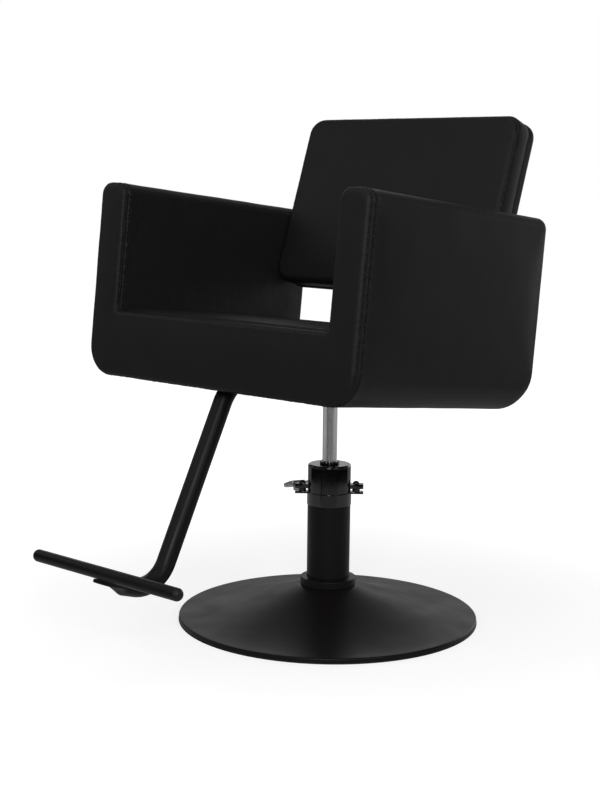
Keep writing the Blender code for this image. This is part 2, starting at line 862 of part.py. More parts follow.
coil = [
    (
        coil_radius * math.cos(2 * HALF_TURN * i / SPRING_POINTS),
        coil_radius * math.sin(2 * HALF_TURN * i / SPRING_POINTS),
        spring_low + SPRING_WIRE + coil_rise * i / (SPRING_POINTS * SPRING_TURNS),
    )
    for i in range(SPRING_POINTS * SPRING_TURNS + 1)
]
spring_curve = bpy.data.curves.new("plunger_spring", "CURVE")
spring_curve.dimensions = "3D"
spring_curve.bevel_depth = SPRING_WIRE
spring_curve.bevel_resolution = 1
spring_curve.use_fill_caps = True
spring_line = spring_curve.splines.new("POLY")
spring_line.points.add(len(coil) - 1)
for point, place in zip(spring_line.points, coil):
    point.co = (*place, 1)
part(
    new_object("plunger_spring", spring_curve), STEEL, pedal_frame, location=(nose_out, 0, 0), smooth=False
)
least = min((Vector(a) - Vector(b)).length for a, b in zip(coil, coil[SPRING_POINTS:])) - 2 * SPRING_WIRE
print(f"plunger_spring: least gap between turns {least / MM:.2f} mm")

# Lifting rod, on the axis of the lift and the swivel

lift_axis = empty("lift_axis", (0, 0, 0))
hub_bottom = SEAT_UNDERSIDE - HUB_DROP
piston_top = head_low - FIT - LIFT_UP - END_GAP
piston_low = piston_top - PISTON_HEIGHT
washer_low = hub_bottom - FIT - WASHER_THICK
rod_shoulder = washer_low - FIT
journal_top = rod_shoulder + JOURNAL_LENGTH
piston_rod = part(
    turned(
        "piston_rod",
        [
            (0, journal_top),
            (JOURNAL_RADIUS, journal_top),
            (JOURNAL_RADIUS, rod_shoulder),
            (ROD_RADIUS, rod_shoulder),
            (ROD_RADIUS, piston_top + FIT),
            (ROD_SPIGOT, piston_top + FIT),
            (ROD_SPIGOT, piston_low),
            (0, piston_low),
        ],
        COLUMN_STEPS,
        closed=False,
    ),
    CHROME,
    lift_axis,
)
piston_radius = CYLINDER_BORE - FIT
seal_low = (piston_low + piston_top - SEAL_HEIGHT) / 2
seal_high = seal_low + SEAL_HEIGHT
groove = piston_radius - SEAL_DEPTH
part(
    turned(
        "piston",
        [
            (piston_radius, piston_top),
            (piston_radius, seal_high + FIT),
            (groove - FIT, seal_high + FIT),
            (groove - FIT, seal_low - FIT),
            (piston_radius, seal_low - FIT),
            (piston_radius, piston_low),
            (ROD_SPIGOT + FIT, piston_low),
            (ROD_SPIGOT + FIT, piston_top),
        ],
        COLUMN_STEPS,
    ),
    STEEL,
    lift_axis,
)
seal_ring = ring(groove, piston_radius, seal_low, seal_high)
part(turned("piston_seal", seal_ring, COLUMN_STEPS), RUBBER, lift_axis)
part(
    turned(
        "thrust_washer",
        ring(JOURNAL_RADIUS + FIT, WASHER_RADIUS, washer_low, washer_low + WASHER_THICK),
        COLUMN_STEPS,
    ),
    BRONZE,
    lift_axis,
)

# Seat frame, raked about the point where its underside meets the axis

seat_axis = empty("seat_axis", (0, 0, 0), parent=lift_axis)
seat_frame = empty("seat_frame", (0, 0, SEAT_UNDERSIDE), (-SEAT_RAKE, 0, 0), seat_axis)
board_low = SEAT_BOARD_RISE
board_top = board_low + SEAT_BOARD
seat_plate_top = board_low - FIT
seat_plate_low = seat_plate_top - SEAT_PLATE_THICK
hub_bore_top = journal_top + FIT
hub_high = SEAT_UNDERSIDE + board_top
swivel_hub = part(
    turned(
        "swivel_hub",
        [
            (0, hub_high),
            (HUB_TOP_RADIUS, hub_high),
            (HUB_TOP_RADIUS, hub_bottom + HUB_NECK),
            (HUB_RADIUS, hub_bottom + HUB_NECK - (HUB_TOP_RADIUS - HUB_RADIUS)),
            (HUB_RADIUS, hub_bottom),
            (JOURNAL_RADIUS + FIT, hub_bottom),
            (JOURNAL_RADIUS + FIT, hub_bore_top),
            (0, hub_bore_top),
        ],
        COLUMN_STEPS,
        closed=False,
    ),
    POWDER,
    seat_axis,
)
hub_mitre = block(
    "hub_mitre",
    (-2 * HUB_TOP_RADIUS, -2 * HUB_TOP_RADIUS, seat_plate_low - FIT),
    (2 * HUB_TOP_RADIUS, 2 * HUB_TOP_RADIUS, 2 * board_top),
)
hub_mitre.parent = seat_frame
boolean(swivel_hub, hub_mitre, "DIFFERENCE")

plate_x = SEAT_PLATE_WIDTH / 2
plate_y = SEAT_PLATE_LENGTH / 2
plate_bolt_places = [(x, y) for x in (-PLATE_BOLT_X, PLATE_BOLT_X) for y in (-PLATE_BOLT_Y, PLATE_BOLT_Y)]
seat_plate = part(
    extruded(
        "seat_plate",
        [
            rounded(
                [
                    (plate_x, -plate_y, SEAT_PLATE_CORNER),
                    (plate_x, plate_y, SEAT_PLATE_CORNER),
                    (-plate_x, plate_y, SEAT_PLATE_CORNER),
                    (-plate_x, -plate_y, SEAT_PLATE_CORNER),
                ]
            )
        ],
        SEAT_PLATE_THICK,
    ),
    POWDER,
    seat_frame,
    location=(0, 0, seat_plate_low + SEAT_PLATE_THICK / 2),
    smooth=False,
)
drill(seat_plate, "seat_plate_holes", plate_bolt_places, bolt_hole, 0, 2 * board_top)
bolt_top = board_top - FIT
for i, (x, y) in enumerate(plate_bolt_places):
    part(
        hex_bolt(f"plate_bolt_{i + 1}", bolt_top - seat_plate_low + FIT),
        STEEL,
        seat_frame,
        location=(x, y, seat_plate_low - FIT),
        smooth=False,
    )

# Seat boards and upholstery

shell_x = SHELL_WIDTH / 2
arm_inner = shell_x - ARM_THICK
arm_mid = shell_x - ARM_THICK / 2
pad_back = FRONT_PAD - SHELL_FRONT
arm_front = pad_back + FIT
arm_length = SHELL_REAR - arm_front
arm_board_in = arm_mid - ARM_BOARD / 2
arm_board_out = arm_mid + ARM_BOARD / 2
bracket_y = SEAT_BOARD_REAR + FIT + BRACKET_BEND
bracket_leg_z = board_low - FIT - BRACKET_THICK / 2
bracket_places = [
    (side * BRACKET_X, bracket_y - BRACKET_LEG + BRACKET_BOLT_IN) for side in (1, -1)
]
tube_top = board_low - FIT
saddle_ear_x = TUBE_RADIUS + FIT + SADDLE_THICK + SADDLE_EAR / 2
saddle_places = [
    (x, y - SADDLE_MID_Y)
    for x in (-saddle_ear_x, saddle_ear_x)
    for y in (-SADDLE_BOLT_Y, SADDLE_BOLT_Y)
]
board_x = arm_board_in - FIT
seat_board = part(
    block("seat_board", (-board_x, arm_front, board_low), (board_x, SEAT_BOARD_REAR, board_top)),
    PLYWOOD,
    seat_frame,
    smooth=False,
)
drill(
    seat_board,
    "seat_board_holes",
    plate_bolt_places + bracket_places + saddle_places,
    bolt_hole,
    board_low - SEAT_BOARD,
    board_top + SEAT_BOARD,
)


def arm_board_outline(grow, front):
    """Side view of an arm board in (y, z), drawn larger by grow, from the given front edge."""
    low, high = ARM_BOARD_RISE - grow, ARM_HEIGHT - ARM_BOARD_COVER + grow
    rear = SHELL_REAR - ARM_BOARD_REAR + grow
    return rounded(
        [
            (front, low, 0),
            (rear, low, ARM_BOARD_ROUND),
            (rear, high, ARM_REAR_TOP),
            (front, high, 0),
        ]
    )


def arm_profile():
    """Front view of an arm in (x, z), on the +X side, with extra points on its long sides."""
    corners = rounded(
        [
            (arm_inner, 0, 0),
            (shell_x, 0, ARM_LOW_ROUND),
            (shell_x, ARM_HEIGHT, ARM_TOP_ROUND),
            (arm_inner, ARM_HEIGHT, ARM_TOP_ROUND),
        ]
    )
    points = []
    for here, after in zip(corners, corners[1:] + corners[:1]):
        pieces = max(1, round(math.dist(here, after) / ARM_THICK))
        for i in range(pieces):
            share = i / pieces
            points.append(tuple(a + (b - a) * share for a, b in zip(here, after)))
    return points


def arm_section(y, side):
    """The arm's section at y: its lower rear corner rises, its upper one drops and its end draws in."""
    rise = round_in(y - SHELL_REAR + ARM_REAR_LOW, ARM_REAR_LOW)
    drop = round_in(y - SHELL_REAR + ARM_REAR_TOP, ARM_REAR_TOP)
    inset = round_in(y - SHELL_REAR + ARM_REAR_EDGE, ARM_REAR_EDGE)
    along_y = 1 - (2 * (y - arm_front) / arm_length - 1) ** 2
    section = []
    for x, z in arm_profile():
        out = (x - arm_mid) / (ARM_THICK / 2)
        swell = ARM_CROWN * max(out, 0) * along_y * (1 - (2 * z / ARM_HEIGHT - 1) ** 2)
        x = arm_mid + out * (ARM_THICK / 2 - inset) + swell
        z = rise + z * (ARM_HEIGHT - drop - rise) / ARM_HEIGHT
        section.append((side * x, y, z))
    return section


arm_rear_start = SHELL_REAR - ARM_REAR_LOW
arm_stations = [
    arm_front + (arm_rear_start - arm_front) * i / ARM_STATIONS for i in range(ARM_STATIONS + 1)
]
arm_stations += [
    arm_rear_start + ARM_REAR_LOW * math.sin(QUARTER * i / ARM_REAR_STATIONS)
    for i in range(1, ARM_REAR_STATIONS + 1)
]
for side, word in ((1, "left"), (-1, "right")):
    arm_board = part(
        extruded(f"arm_board_{word}", [arm_board_outline(0, arm_front)], ARM_BOARD),
        PLYWOOD,
        seat_frame,
        location=(side * arm_mid, 0, 0),
        rotation=(QUARTER, 0, QUARTER),
        smooth=False,
    )
    arm_sections = [arm_section(y, side) for y in arm_stations]
    arm_pad = part(lofted(f"arm_pad_{word}", arm_sections), LEATHERETTE, seat_frame)
    pocket = extruded(f"arm_pocket_{word}", [arm_board_outline(FIT, -SHELL_FRONT)], ARM_BOARD + 2 * FIT)
    pocket.location = (side * arm_mid, 0, 0)
    pocket.rotation_euler = (QUARTER, 0, QUARTER)
    near, far = sorted((side * BRACKET_X, side * arm_mid))
    slot = block(
        f"arm_board_slot_{word}",
        (near, -SHELL_FRONT, board_low - FIT),
        (far, SEAT_BOARD_REAR + FIT, board_top + FIT),
    )
    for tool in (pocket, slot):
        tool.parent = seat_frame
        boolean(arm_pad, tool, "DIFFERENCE")


def front_outline(inset):
    """Front view of the U-shaped front panel in (x, z), drawn in by the inset."""
    x, inner = shell_x - inset, arm_inner + inset
    low, top, sill = inset, ARM_HEIGHT - inset, SEAT_FRONT_TOP - inset
    foot = ARM_LOW_ROUND - inset
    shoulder = ARM_TOP_ROUND - inset
    crook = SEAT_FRONT_CORNER + inset
    return rounded(
        [
            (x, low, foot),
            (x, top, shoulder),
            (inner, top, shoulder),
            (inner, sill, crook),
            (-inner, sill, crook),
            (-inner, top, shoulder),
            (-x, top, shoulder),
            (-x, low, foot),
        ]
    )


front_pad = part(
    extruded("front_pad", [front_outline(0)], FRONT_PAD, rim_round=FRONT_PAD_ROUND),
    LEATHERETTE,
    seat_frame,
    location=(0, pad_back - FRONT_PAD / 2, 0),
    rotation=(QUARTER, 0, 0),
)
front_board = part(
    extruded("front_board", [front_outline(FRONT_BOARD_INSET)], FRONT_BOARD),
    PLYWOOD,
    seat_frame,
    location=(0, pad_back - FRONT_BOARD / 2, 0),
    rotation=(QUARTER, 0, 0),
    smooth=False,
)
front_pocket = extruded("front_pocket", [front_outline(FRONT_BOARD_INSET - FIT)], 2 * (FRONT_BOARD + FIT))
front_pocket.parent = seat_frame
front_pocket.location = (0, pad_back, 0)
front_pocket.rotation_euler = (QUARTER, 0, 0)
boolean(front_pad, front_pocket, "DIFFERENCE")

cushion_low = board_top + FIT
cushion_half_y = (CUSHION_REAR - arm_front) / 2
seat_cushion = part(
    cushion(
        "seat_cushion",
        arm_inner - FIT,
        cushion_half_y,
        CUSHION_CORNER,
        [
            (cushion_low, 0),
            ((cushion_low + CUSHION_TOP - CUSHION_ROUND) / 2, CUSHION_WAIST),
        ]
        + roll(CUSHION_TOP, CUSHION_ROUND)
        + crown(CUSHION_TOP, CUSHION_CROWN, CUSHION_ROUND),
    ),
    LEATHERETTE,
    seat_frame,
    location=(0, (CUSHION_REAR + arm_front) / 2, 0),
)
rear_panel_front = bracket_y + BRACKET_THICK / 2 + FIT
rear_panel = part(
    block(
        "rear_panel",
        (FIT - arm_inner, rear_panel_front, REAR_PANEL_LOW),
        (arm_inner - FIT, SHELL_REAR, REAR_PANEL_TOP),
        edge=REAR_PANEL_ROUND,
    ),
    LEATHERETTE,
    seat_frame,
)

# Backrest. In its frame X runs across, Y back through its thickness and Z up its height.

back_frame = empty("back_frame", (0, BACK_FOOT_Y, BACK_FOOT_RISE), (-BACK_LEAN, 0, 0), seat_frame)
back_x = arm_inner - BACK_SIDE_GAP
back_z = BACK_HEIGHT / 2
back_middle = (0, 0, back_z)
back_board_front = BACK_PAD - BACK_BOARD
cover_front = BACK_PAD + FIT
cover_rear = cover_front + BACK_COVER

back_cushion = part(
    cushion(
        "back_cushion",
        back_x,
        back_z,
        BACK_CORNER,
        [
            (-BACK_PAD, 0),
            (-BACK_PAD / 2, CUSHION_WAIST / 2),
        ]
        + roll(0, BACK_ROUND)
        + crown(0, BACK_CROWN, BACK_ROUND),
    ),
    LEATHERETTE,
    back_frame,
    location=back_middle,
    rotation=(QUARTER, 0, 0),
)


def back_plate(name, inset, front, rear):
    """A flat rounded panel of the backrest between two depths."""
    x, z, corner = back_x - inset, back_z - inset, BACK_CORNER - inset
    outline = rounded([(x, -z, corner), (x, z, corner), (-x, z, corner), (-x, -z, corner)])
    made = extruded(name, [outline], rear - front)
    made.parent = back_frame
    made.location = (0, (front + rear) / 2, back_z)
    made.rotation_euler = (QUARTER, 0, 0)
    return made


back_pocket = back_plate("back_pocket", BACK_BOARD_INSET - FIT, back_board_front - FIT, cover_rear)
boolean(back_cushion, back_pocket, "DIFFERENCE")
back_board = back_plate("back_board", BACK_BOARD_INSET, back_board_front, BACK_PAD)
back_board.data.materials.append(PLYWOOD)
back_cover = part(
    cushion(
        "back_cover",
        back_x,
        back_z,
        BACK_CORNER,
        [
            (cover_front, 0),
        ]
        + roll(cover_rear, COVER_ROUND),
    ),
    LEATHERETTE,
    back_frame,
    location=back_middle,
    rotation=(-QUARTER, 0, 0),
)

bracket_back_y = cover_front + BRACKET_THICK / 2


def from_back(y, z):
    """A point of the backrest's (y, z) plane in the seat frame."""
    lean_y = y * math.cos(BACK_LEAN) + z * math.sin(BACK_LEAN)
    lean_z = z * math.cos(BACK_LEAN) - y * math.sin(BACK_LEAN)
    return BACK_FOOT_Y + lean_y, BACK_FOOT_RISE + lean_z


bracket_path = rounded(
    [
        (bracket_y - BRACKET_LEG, bracket_leg_z, 0),
        (bracket_y, bracket_leg_z, BRACKET_BEND),
        (bracket_y, BRACKET_CRANK, BRACKET_BEND),
        (*from_back(bracket_back_y, -BRACKET_DROP), BRACKET_BEND),
        (*from_back(bracket_back_y, BRACKET_RISE), 0),
    ],
    closed=False,
)


def countersunk(name, side, grow, head_out, reach):
    """A countersunk bolt along the backrest's depth, its head below the bracket's rear face."""
    head, shank = BACK_BOLT_HEAD + grow, BOLT_RADIUS + grow
    made = turned(
        name,
        [(0, head_out), (head, head_out), (head, 0), (shank, -BACK_BOLT_CONE), (shank, -reach), (0, -reach)],
        SMALL_STEPS,
        closed=False,
    )
    made.parent = back_frame
    made.location = (side * BRACKET_X, cover_front + BRACKET_THICK - BACK_BOLT_SINK, BACK_BOLT_RISE)
    made.rotation_euler = (-QUARTER, 0, 0)
    return made


bolt_reach = BRACKET_THICK + BACK_BOARD - BACK_BOLT_CONE
for side, word in ((1, "left"), (-1, "right")):
    strap = bmesh.new()
    rows = [
        [strap.verts.new((side * BRACKET_X + end * BRACKET_WIDTH / 2, y, z)) for end in (-1, 1)]
        for y, z in bracket_path
    ]
    for low, high in zip(rows, rows[1:]):
        strap.faces.new((*low, *reversed(high)))
    bracket = part(from_bmesh(f"back_bracket_{word}", strap), POWDER, seat_frame, smooth=False)
    solid = bracket.modifiers.new("thickness", "SOLIDIFY")
    solid.thickness = BRACKET_THICK
    solid.offset = 0
    solid.use_even_offset = True
    drill(
        bracket,
        f"bracket_hole_{word}",
        [(side * BRACKET_X, bracket_places[0][1])],
        bolt_hole,
        bracket_leg_z - BRACKET_THICK,
        bracket_leg_z + BRACKET_THICK,
    )
    part(
        hex_bolt(f"bracket_bolt_{word}", bolt_top - bracket_leg_z + BRACKET_THICK / 2 + FIT),
        STEEL,
        seat_frame,
        location=(side * BRACKET_X, bracket_places[0][1], bracket_leg_z - BRACKET_THICK / 2 - FIT),
        smooth=False,
    )
    channel_half = BRACKET_WIDTH / 2 + FIT
    channel = block(
        f"cover_channel_{word}",
        (side * BRACKET_X - channel_half, back_board_front, -BACK_HEIGHT),
        (side * BRACKET_X + channel_half, cover_front + BRACKET_THICK + FIT, BRACKET_RISE + FIT),
    )
    channel.parent = back_frame
    boolean(back_cover, channel, "DIFFERENCE")

    for piece in (bracket, back_board):
        sink = countersunk(f"{piece.name}_sink_{word}", side, FIT, BACK_BOLT_CONE, 2 * bolt_reach)
        boolean(piece, sink, "DIFFERENCE")
    back_bolt = countersunk(f"back_bolt_{word}", side, 0, BACK_BOLT_SINK - FIT, bolt_reach)
    back_bolt.data.materials.append(STEEL)

# Footrest, in the seat frame's (y, z) plane. The tongue's line passes under the bar.

bar_centre = Vector((-BAR_AHEAD, -BAR_BELOW))
tongue_along = Vector((-math.cos(TONGUE_SLOPE), math.sin(TONGUE_SLOPE)))
tongue_up = Vector((math.sin(TONGUE_SLOPE), math.cos(TONGUE_SLOPE)))
under_bar = bar_centre - tongue_up * (BAR_RADIUS + FIT + TONGUE_THICK / 2)
tube_z = tube_top - TUBE_RADIUS
upper_corner = Vector((-TUBE_CORNER_Y, tube_z))
run_along = Vector((-math.sin(TUBE_LEAN), -math.cos(TUBE_LEAN)))
gap = under_bar - upper_corner
run_length = gap.cross(tongue_along) / run_along.cross(tongue_along)
lower_corner = upper_corner + run_along * run_length
tongue_tip = under_bar + tongue_along * TONGUE_TIP
flat_from = (under_bar - lower_corner).length - TONGUE_LENGTH / 2
tube_path = rounded(
    [
        (-TUBE_START, tube_z, 0),
        (*upper_corner, TUBE_UPPER_BEND),
        (*lower_corner, TUBE_LOWER_BEND),
        (*tongue_tip, 0),
    ],
    closed=False,
    steps=TUBE_BEND_STEPS,
)
tube_path = [Vector(point) for point in tube_path]
flat_start = lower_corner + tongue_along * flat_from
tube_flat = [0.0] * (len(tube_path) - 1)
tube_flat += [flat for _, flat in TONGUE_FLATNESS] + [1.0]
tube_path[-1:] = [flat_start + tongue_along * TONGUE_LENGTH * share for share, _ in TONGUE_FLATNESS]
tube_path.append(tongue_tip)
tube_sections = []
for i, (centre, flat) in enumerate(zip(tube_path, tube_flat)):
    ahead = (tube_path[min(i + 1, len(tube_path) - 1)] - tube_path[max(i - 1, 0)]).normalized()
    up = Vector((-ahead.y, ahead.x))
    half_x = TUBE_RADIUS + (TONGUE_WIDTH / 2 - TUBE_RADIUS) * flat
    half_up = TUBE_RADIUS + (TONGUE_THICK / 2 - TUBE_RADIUS) * flat
    section = []
    for x, rise in arc((0, 0), 1, 0, 2 * HALF_TURN, TUBE_SIDES)[:-1]:
        square = 1 + flat * (1 / max(abs(x), abs(rise)) - 1) * TONGUE_SQUARE
        place = centre + up * half_up * rise * square
        section.append((half_x * x * square, place.x, place.y))
    tube_sections.append(section)
footrest_tube = part(lofted("footrest_tube", tube_sections), POWDER, seat_frame)

cap_start = BAR_LENGTH / 2 - CAP_LENGTH
foot_bar = part(
    turned("foot_bar", ring(BAR_RADIUS - BAR_WALL, BAR_RADIUS, -cap_start, cap_start), SMALL_STEPS),
    POWDER,
    seat_frame,
    location=(0, *bar_centre),
    rotation=(0, QUARTER, 0),
)
plug_radius = BAR_RADIUS - BAR_WALL - FIT
cap_round = arc((0, 0), 1, QUARTER, 0, CORNER_STEPS)
for side, word in ((1, "left"), (-1, "right")):
    part(
        turned(
            f"bar_cap_{word}",
            [(BAR_RADIUS * x, cap_start + FIT + (CAP_LENGTH - FIT) * z) for x, z in cap_round]
            + [(plug_radius, z) for z in (cap_start + FIT, cap_start - CAP_PLUG)]
            + [(0, cap_start - CAP_PLUG)],
            SMALL_STEPS,
            closed=False,
        ),
        PLASTIC,
        seat_frame,
        location=(0, *bar_centre),
        rotation=(0, side * QUARTER, 0),
    )

saddle_in = TUBE_RADIUS + FIT
saddle_out = saddle_in + SADDLE_THICK
saddle_reach = saddle_out + SADDLE_EAR
ear_high = tube_top - tube_z
ear_low = ear_high - SADDLE_THICK
saddle_outline = (
    [(saddle_reach, ear_high), (saddle_in, ear_high)]
    + arc((0, 0), saddle_in, 0, -HALF_TURN, 2 * CORNER_STEPS)
    + [(-saddle_in, ear_high), (-saddle_reach, ear_high), (-saddle_reach, ear_low), (-saddle_out, ear_low)]
    + arc((0, 0), saddle_out, -HALF_TURN, 0, 2 * CORNER_STEPS)
    + [(saddle_out, ear_low), (saddle_reach, ear_low)]
)
footrest_saddle = part(
    extruded("footrest_saddle", [saddle_outline], SADDLE_LENGTH),
    POWDER,
    seat_frame,
    location=(0, -SADDLE_MID_Y, tube_z),
    rotation=(QUARTER, 0, 0),
    smooth=False,
)
saddle_ear_under = tube_z + ear_low
drill(footrest_saddle, "saddle_holes", saddle_places, bolt_hole, saddle_ear_under - SEAT_BOARD, board_top)
for i, (x, y) in enumerate(saddle_places):
    part(
        hex_bolt(f"saddle_bolt_{i + 1}", bolt_top - saddle_ear_under + FIT),
        STEEL,
        seat_frame,
        location=(x, y, saddle_ear_under - FIT),
        smooth=False,
    )
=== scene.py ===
"""Looks of a hairdressing chair, in the order in which the chair is put together.

The chair faces -Y, +X is the sitter's left and +Z is up. Lengths are in metres.
"""

import math

import bmesh
import bpy
from mathutils import Matrix, Vector, kdtree, noise
from mathutils.bvhtree import BVHTree


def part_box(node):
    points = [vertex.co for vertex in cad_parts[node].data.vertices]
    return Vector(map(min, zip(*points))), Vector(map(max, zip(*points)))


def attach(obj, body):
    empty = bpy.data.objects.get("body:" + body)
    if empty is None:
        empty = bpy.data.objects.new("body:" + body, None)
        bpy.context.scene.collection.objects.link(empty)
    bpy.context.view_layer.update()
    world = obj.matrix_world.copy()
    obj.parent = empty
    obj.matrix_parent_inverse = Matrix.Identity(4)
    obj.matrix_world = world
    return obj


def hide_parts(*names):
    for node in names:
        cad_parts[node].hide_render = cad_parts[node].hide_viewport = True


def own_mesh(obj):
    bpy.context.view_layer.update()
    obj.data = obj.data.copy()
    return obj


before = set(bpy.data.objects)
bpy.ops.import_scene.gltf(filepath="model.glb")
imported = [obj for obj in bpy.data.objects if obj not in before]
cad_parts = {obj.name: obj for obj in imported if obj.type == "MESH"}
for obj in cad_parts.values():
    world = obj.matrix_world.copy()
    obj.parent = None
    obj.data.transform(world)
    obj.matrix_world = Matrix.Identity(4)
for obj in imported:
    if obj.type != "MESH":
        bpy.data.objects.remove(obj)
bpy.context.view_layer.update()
scene = bpy.context.scene
scene.view_settings.view_transform = "Standard"
MM = 0.001
QUARTER = math.pi / 2

# Camera: on a stand at the sitter's left front, at about the height of the arms, with a long lens
# on the column's axis. The stand's angles and distance follow from the base's ellipse.
CAMERA_TURN = math.radians(41.237)
CAMERA_OUT = 2.865
CAMERA_HIGH = 0.8566
CAMERA_PAN = math.radians(1.1693)
CAMERA_TILT = math.radians(-8.4726)
CAMERA_ROLL = math.radians(0.6581)
FOCAL_PX = 1509.29
IMAGE_LONG_PX = 800
SENSOR_MM = 36

away = Vector((-math.sin(CAMERA_TURN), math.cos(CAMERA_TURN), 0))
ahead = Matrix.Rotation(CAMERA_PAN, 3, "Z") @ away * math.cos(CAMERA_TILT)
ahead.z = math.sin(CAMERA_TILT)
level = ahead.cross(Vector((0, 0, 1))).normalized()
upright = level.cross(ahead)
right = level * math.cos(CAMERA_ROLL) + upright * math.sin(CAMERA_ROLL)
up = upright * math.cos(CAMERA_ROLL) - level * math.sin(CAMERA_ROLL)
camera = bpy.data.objects.new("camera", bpy.data.cameras.new("camera"))
scene.collection.objects.link(camera)
camera.matrix_world = Matrix((right, up, -ahead)).transposed().to_4x4()
camera.location = Vector((0, 0, CAMERA_HIGH)) - away * CAMERA_OUT
camera.data.sensor_width = SENSOR_MM
camera.data.lens = FOCAL_PX * SENSOR_MM / IMAGE_LONG_PX
camera.data.clip_start = 0.05
scene.camera = camera


# Studio: a white paper floor and a white backdrop behind the chair, in a room that is dim elsewhere.
# Soft boxes hang overhead and stand in front, beside the camera, at the sides and behind.
def linear(code):
    """A colour written as sRGB hex, as linear RGBA."""
    parts = [int(code[i : i + 2], 16) / 255 for i in (1, 3, 5)]
    return (*(p / 12.92 if p <= 0.04045 else ((p + 0.055) / 1.055) ** 2.4 for p in parts), 1.0)


def join(tree, node, sockets):
    """Gives a node's sockets their values or links. A node as a value stands for its first output."""
    for key, value in sockets.items():
        if isinstance(value, bpy.types.Node):
            value = value.outputs[0]
        if isinstance(value, bpy.types.NodeSocket):
            tree.links.new(value, node.inputs[key])
        else:
            node.inputs[key].default_value = value


def add(tree, kind, sockets=None, **settings):
    """Adds a node with its settings, and its sockets' values or links."""
    made = tree.nodes.new(kind)
    for name, value in settings.items():
        setattr(made, name, value)
    join(tree, made, sockets or {})
    return made


ROOM_FRONT = 0.06
ROOM_REAR = 1.0
ROOM_TOP = 0.14
ROOM_LOW = 0.12
world = bpy.data.worlds.new("studio")
world.use_nodes = True
scene.world = world
tree = world.node_tree
tree.nodes.clear()
direction = add(tree, "ShaderNodeTexCoord").outputs["Generated"]
rear = add(tree, "ShaderNodeVectorMath", {0: direction, 1: away}, operation="DOT_PRODUCT").outputs["Value"]
high = add(tree, "ShaderNodeSeparateXYZ", {0: direction}).outputs["Z"]
room, lower, roof = (
    add(
        tree,
        "ShaderNodeMapRange",
        {"Value": value, "From Min": start, "From Max": end, "To Min": dim, "To Max": full},
        interpolation_type="SMOOTHSTEP",
    )
    for value, start, end, dim, full in (
        (rear, 0.68, 0.96, ROOM_FRONT, ROOM_REAR),
        (high, 0.06, 0.26, ROOM_LOW, 1.0),
        (high, 0.25, 0.9, 0.0, ROOM_TOP),
    )
)
room = add(tree, "ShaderNodeMath", {0: room, 1: lower}, operation="MULTIPLY")
bright = add(tree, "ShaderNodeMath", {0: room, 1: roof}, operation="MAXIMUM")
path = add(tree, "ShaderNodeLightPath").outputs
# The white backdrop is behind the chair: a gloss finish mirrors it there and the dark room elsewhere
mirror = add(tree, "ShaderNodeMath", {0: room, 1: path["Is Glossy Ray"]}, operation="MULTIPLY")
for seen in (path["Is Camera Ray"], path["Is Transmission Ray"], mirror):
    bright = add(tree, "ShaderNodeMath", {0: bright, 1: seen}, operation="MAXIMUM")
backdrop = add(tree, "ShaderNodeBackground", {"Color": linear("#ffffff"), "Strength": bright})
add(tree, "ShaderNodeOutputWorld", {"Surface": backdrop})

FLOOR_HALF = 20
PAPER_GLOW = 0.27
PATCH_GLOW = 1.7
DARK_RING = ((1.33, 1.38), (1.68, 1.8))
LIT_PATCH = ((2.05, 2.2), (3.0, 3.2))
LIT_STEPS = ((0.75, 1.0), (1.33, 1.38))
SHADOW = (0.35, 1.5)
SHADOW_FILL = 0.72
floor_mesh = bpy.data.meshes.new("studio_floor")
floor_shape = bmesh.new()
bmesh.ops.create_grid(floor_shape, x_segments=2, y_segments=2, size=FLOOR_HALF)
floor_shape.to_mesh(floor_mesh)
floor_shape.free()
floor = bpy.data.objects.new("studio_floor", floor_mesh)
scene.collection.objects.link(floor)
floor_look = bpy.data.materials.new("white_paper_sweep")
floor_look.use_nodes = True
tree = floor_look.node_tree
tree.nodes.clear()
path = add(tree, "ShaderNodeLightPath").outputs
# Painted light on the paper: its colour is lighter near the chair and ends towards the camera in two
# steps, and a ring of painted shade lies round the chair's front and sides, so a glossy upright face
# mirrors a dark floor there. Beyond it a patch glows for glossy rays, a painted reflection in the rod.
spot = add(tree, "ShaderNodeTexCoord").outputs["Object"]
nearer = add(tree, "ShaderNodeVectorMath", {0: spot, 1: -away}, operation="DOT_PRODUCT").outputs["Value"]
out_far = add(tree, "ShaderNodeVectorMath", {0: spot}, operation="LENGTH").outputs["Value"]
turn = add(tree, "ShaderNodeMath", {0: nearer, 1: out_far}, operation="DIVIDE")
facing, ahead_of, ring_in, ring_out, patch_in, patch_out, near_step, far_step, behind, white = (
    add(
        tree,
        "ShaderNodeMapRange",
        {"Value": value, "From Min": start, "From Max": end, "To Min": first, "To Max": last},
        interpolation_type="SMOOTHSTEP",
    )
    for value, (start, end), first, last in (
        (turn, (-0.5, -0.3), 0.0, 1.0),
        (turn, (0.3, 0.6), 0.0, PATCH_GLOW),
        (out_far, DARK_RING[0], 0.0, 1.0),
        (out_far, DARK_RING[1], 1.0, 0.0),
        (out_far, LIT_PATCH[0], 0.0, 1.0),
        (out_far, LIT_PATCH[1], 1.0, 0.0),
        (nearer, LIT_STEPS[0], 0.35, 0.0),
        (nearer, LIT_STEPS[1], 0.65, 0.0),
        (nearer, (-1.1, -0.7), 0.3, 1.0),
        (out_far, SHADOW, SHADOW_FILL, 1.0),
    )
)
dark, patch = ring_in, patch_in
for ring_share, patch_share in ((ring_out, patch_out), (facing, ahead_of)):
    dark = add(tree, "ShaderNodeMath", {0: dark, 1: ring_share}, operation="MULTIPLY")
    patch = add(tree, "ShaderNodeMath", {0: patch, 1: patch_share}, operation="MULTIPLY")
lit = add(tree, "ShaderNodeMath", {0: near_step, 1: far_step}, operation="ADD")
lit = add(tree, "ShaderNodeMath", {0: lit, 1: dark}, operation="SUBTRACT", use_clamp=True)
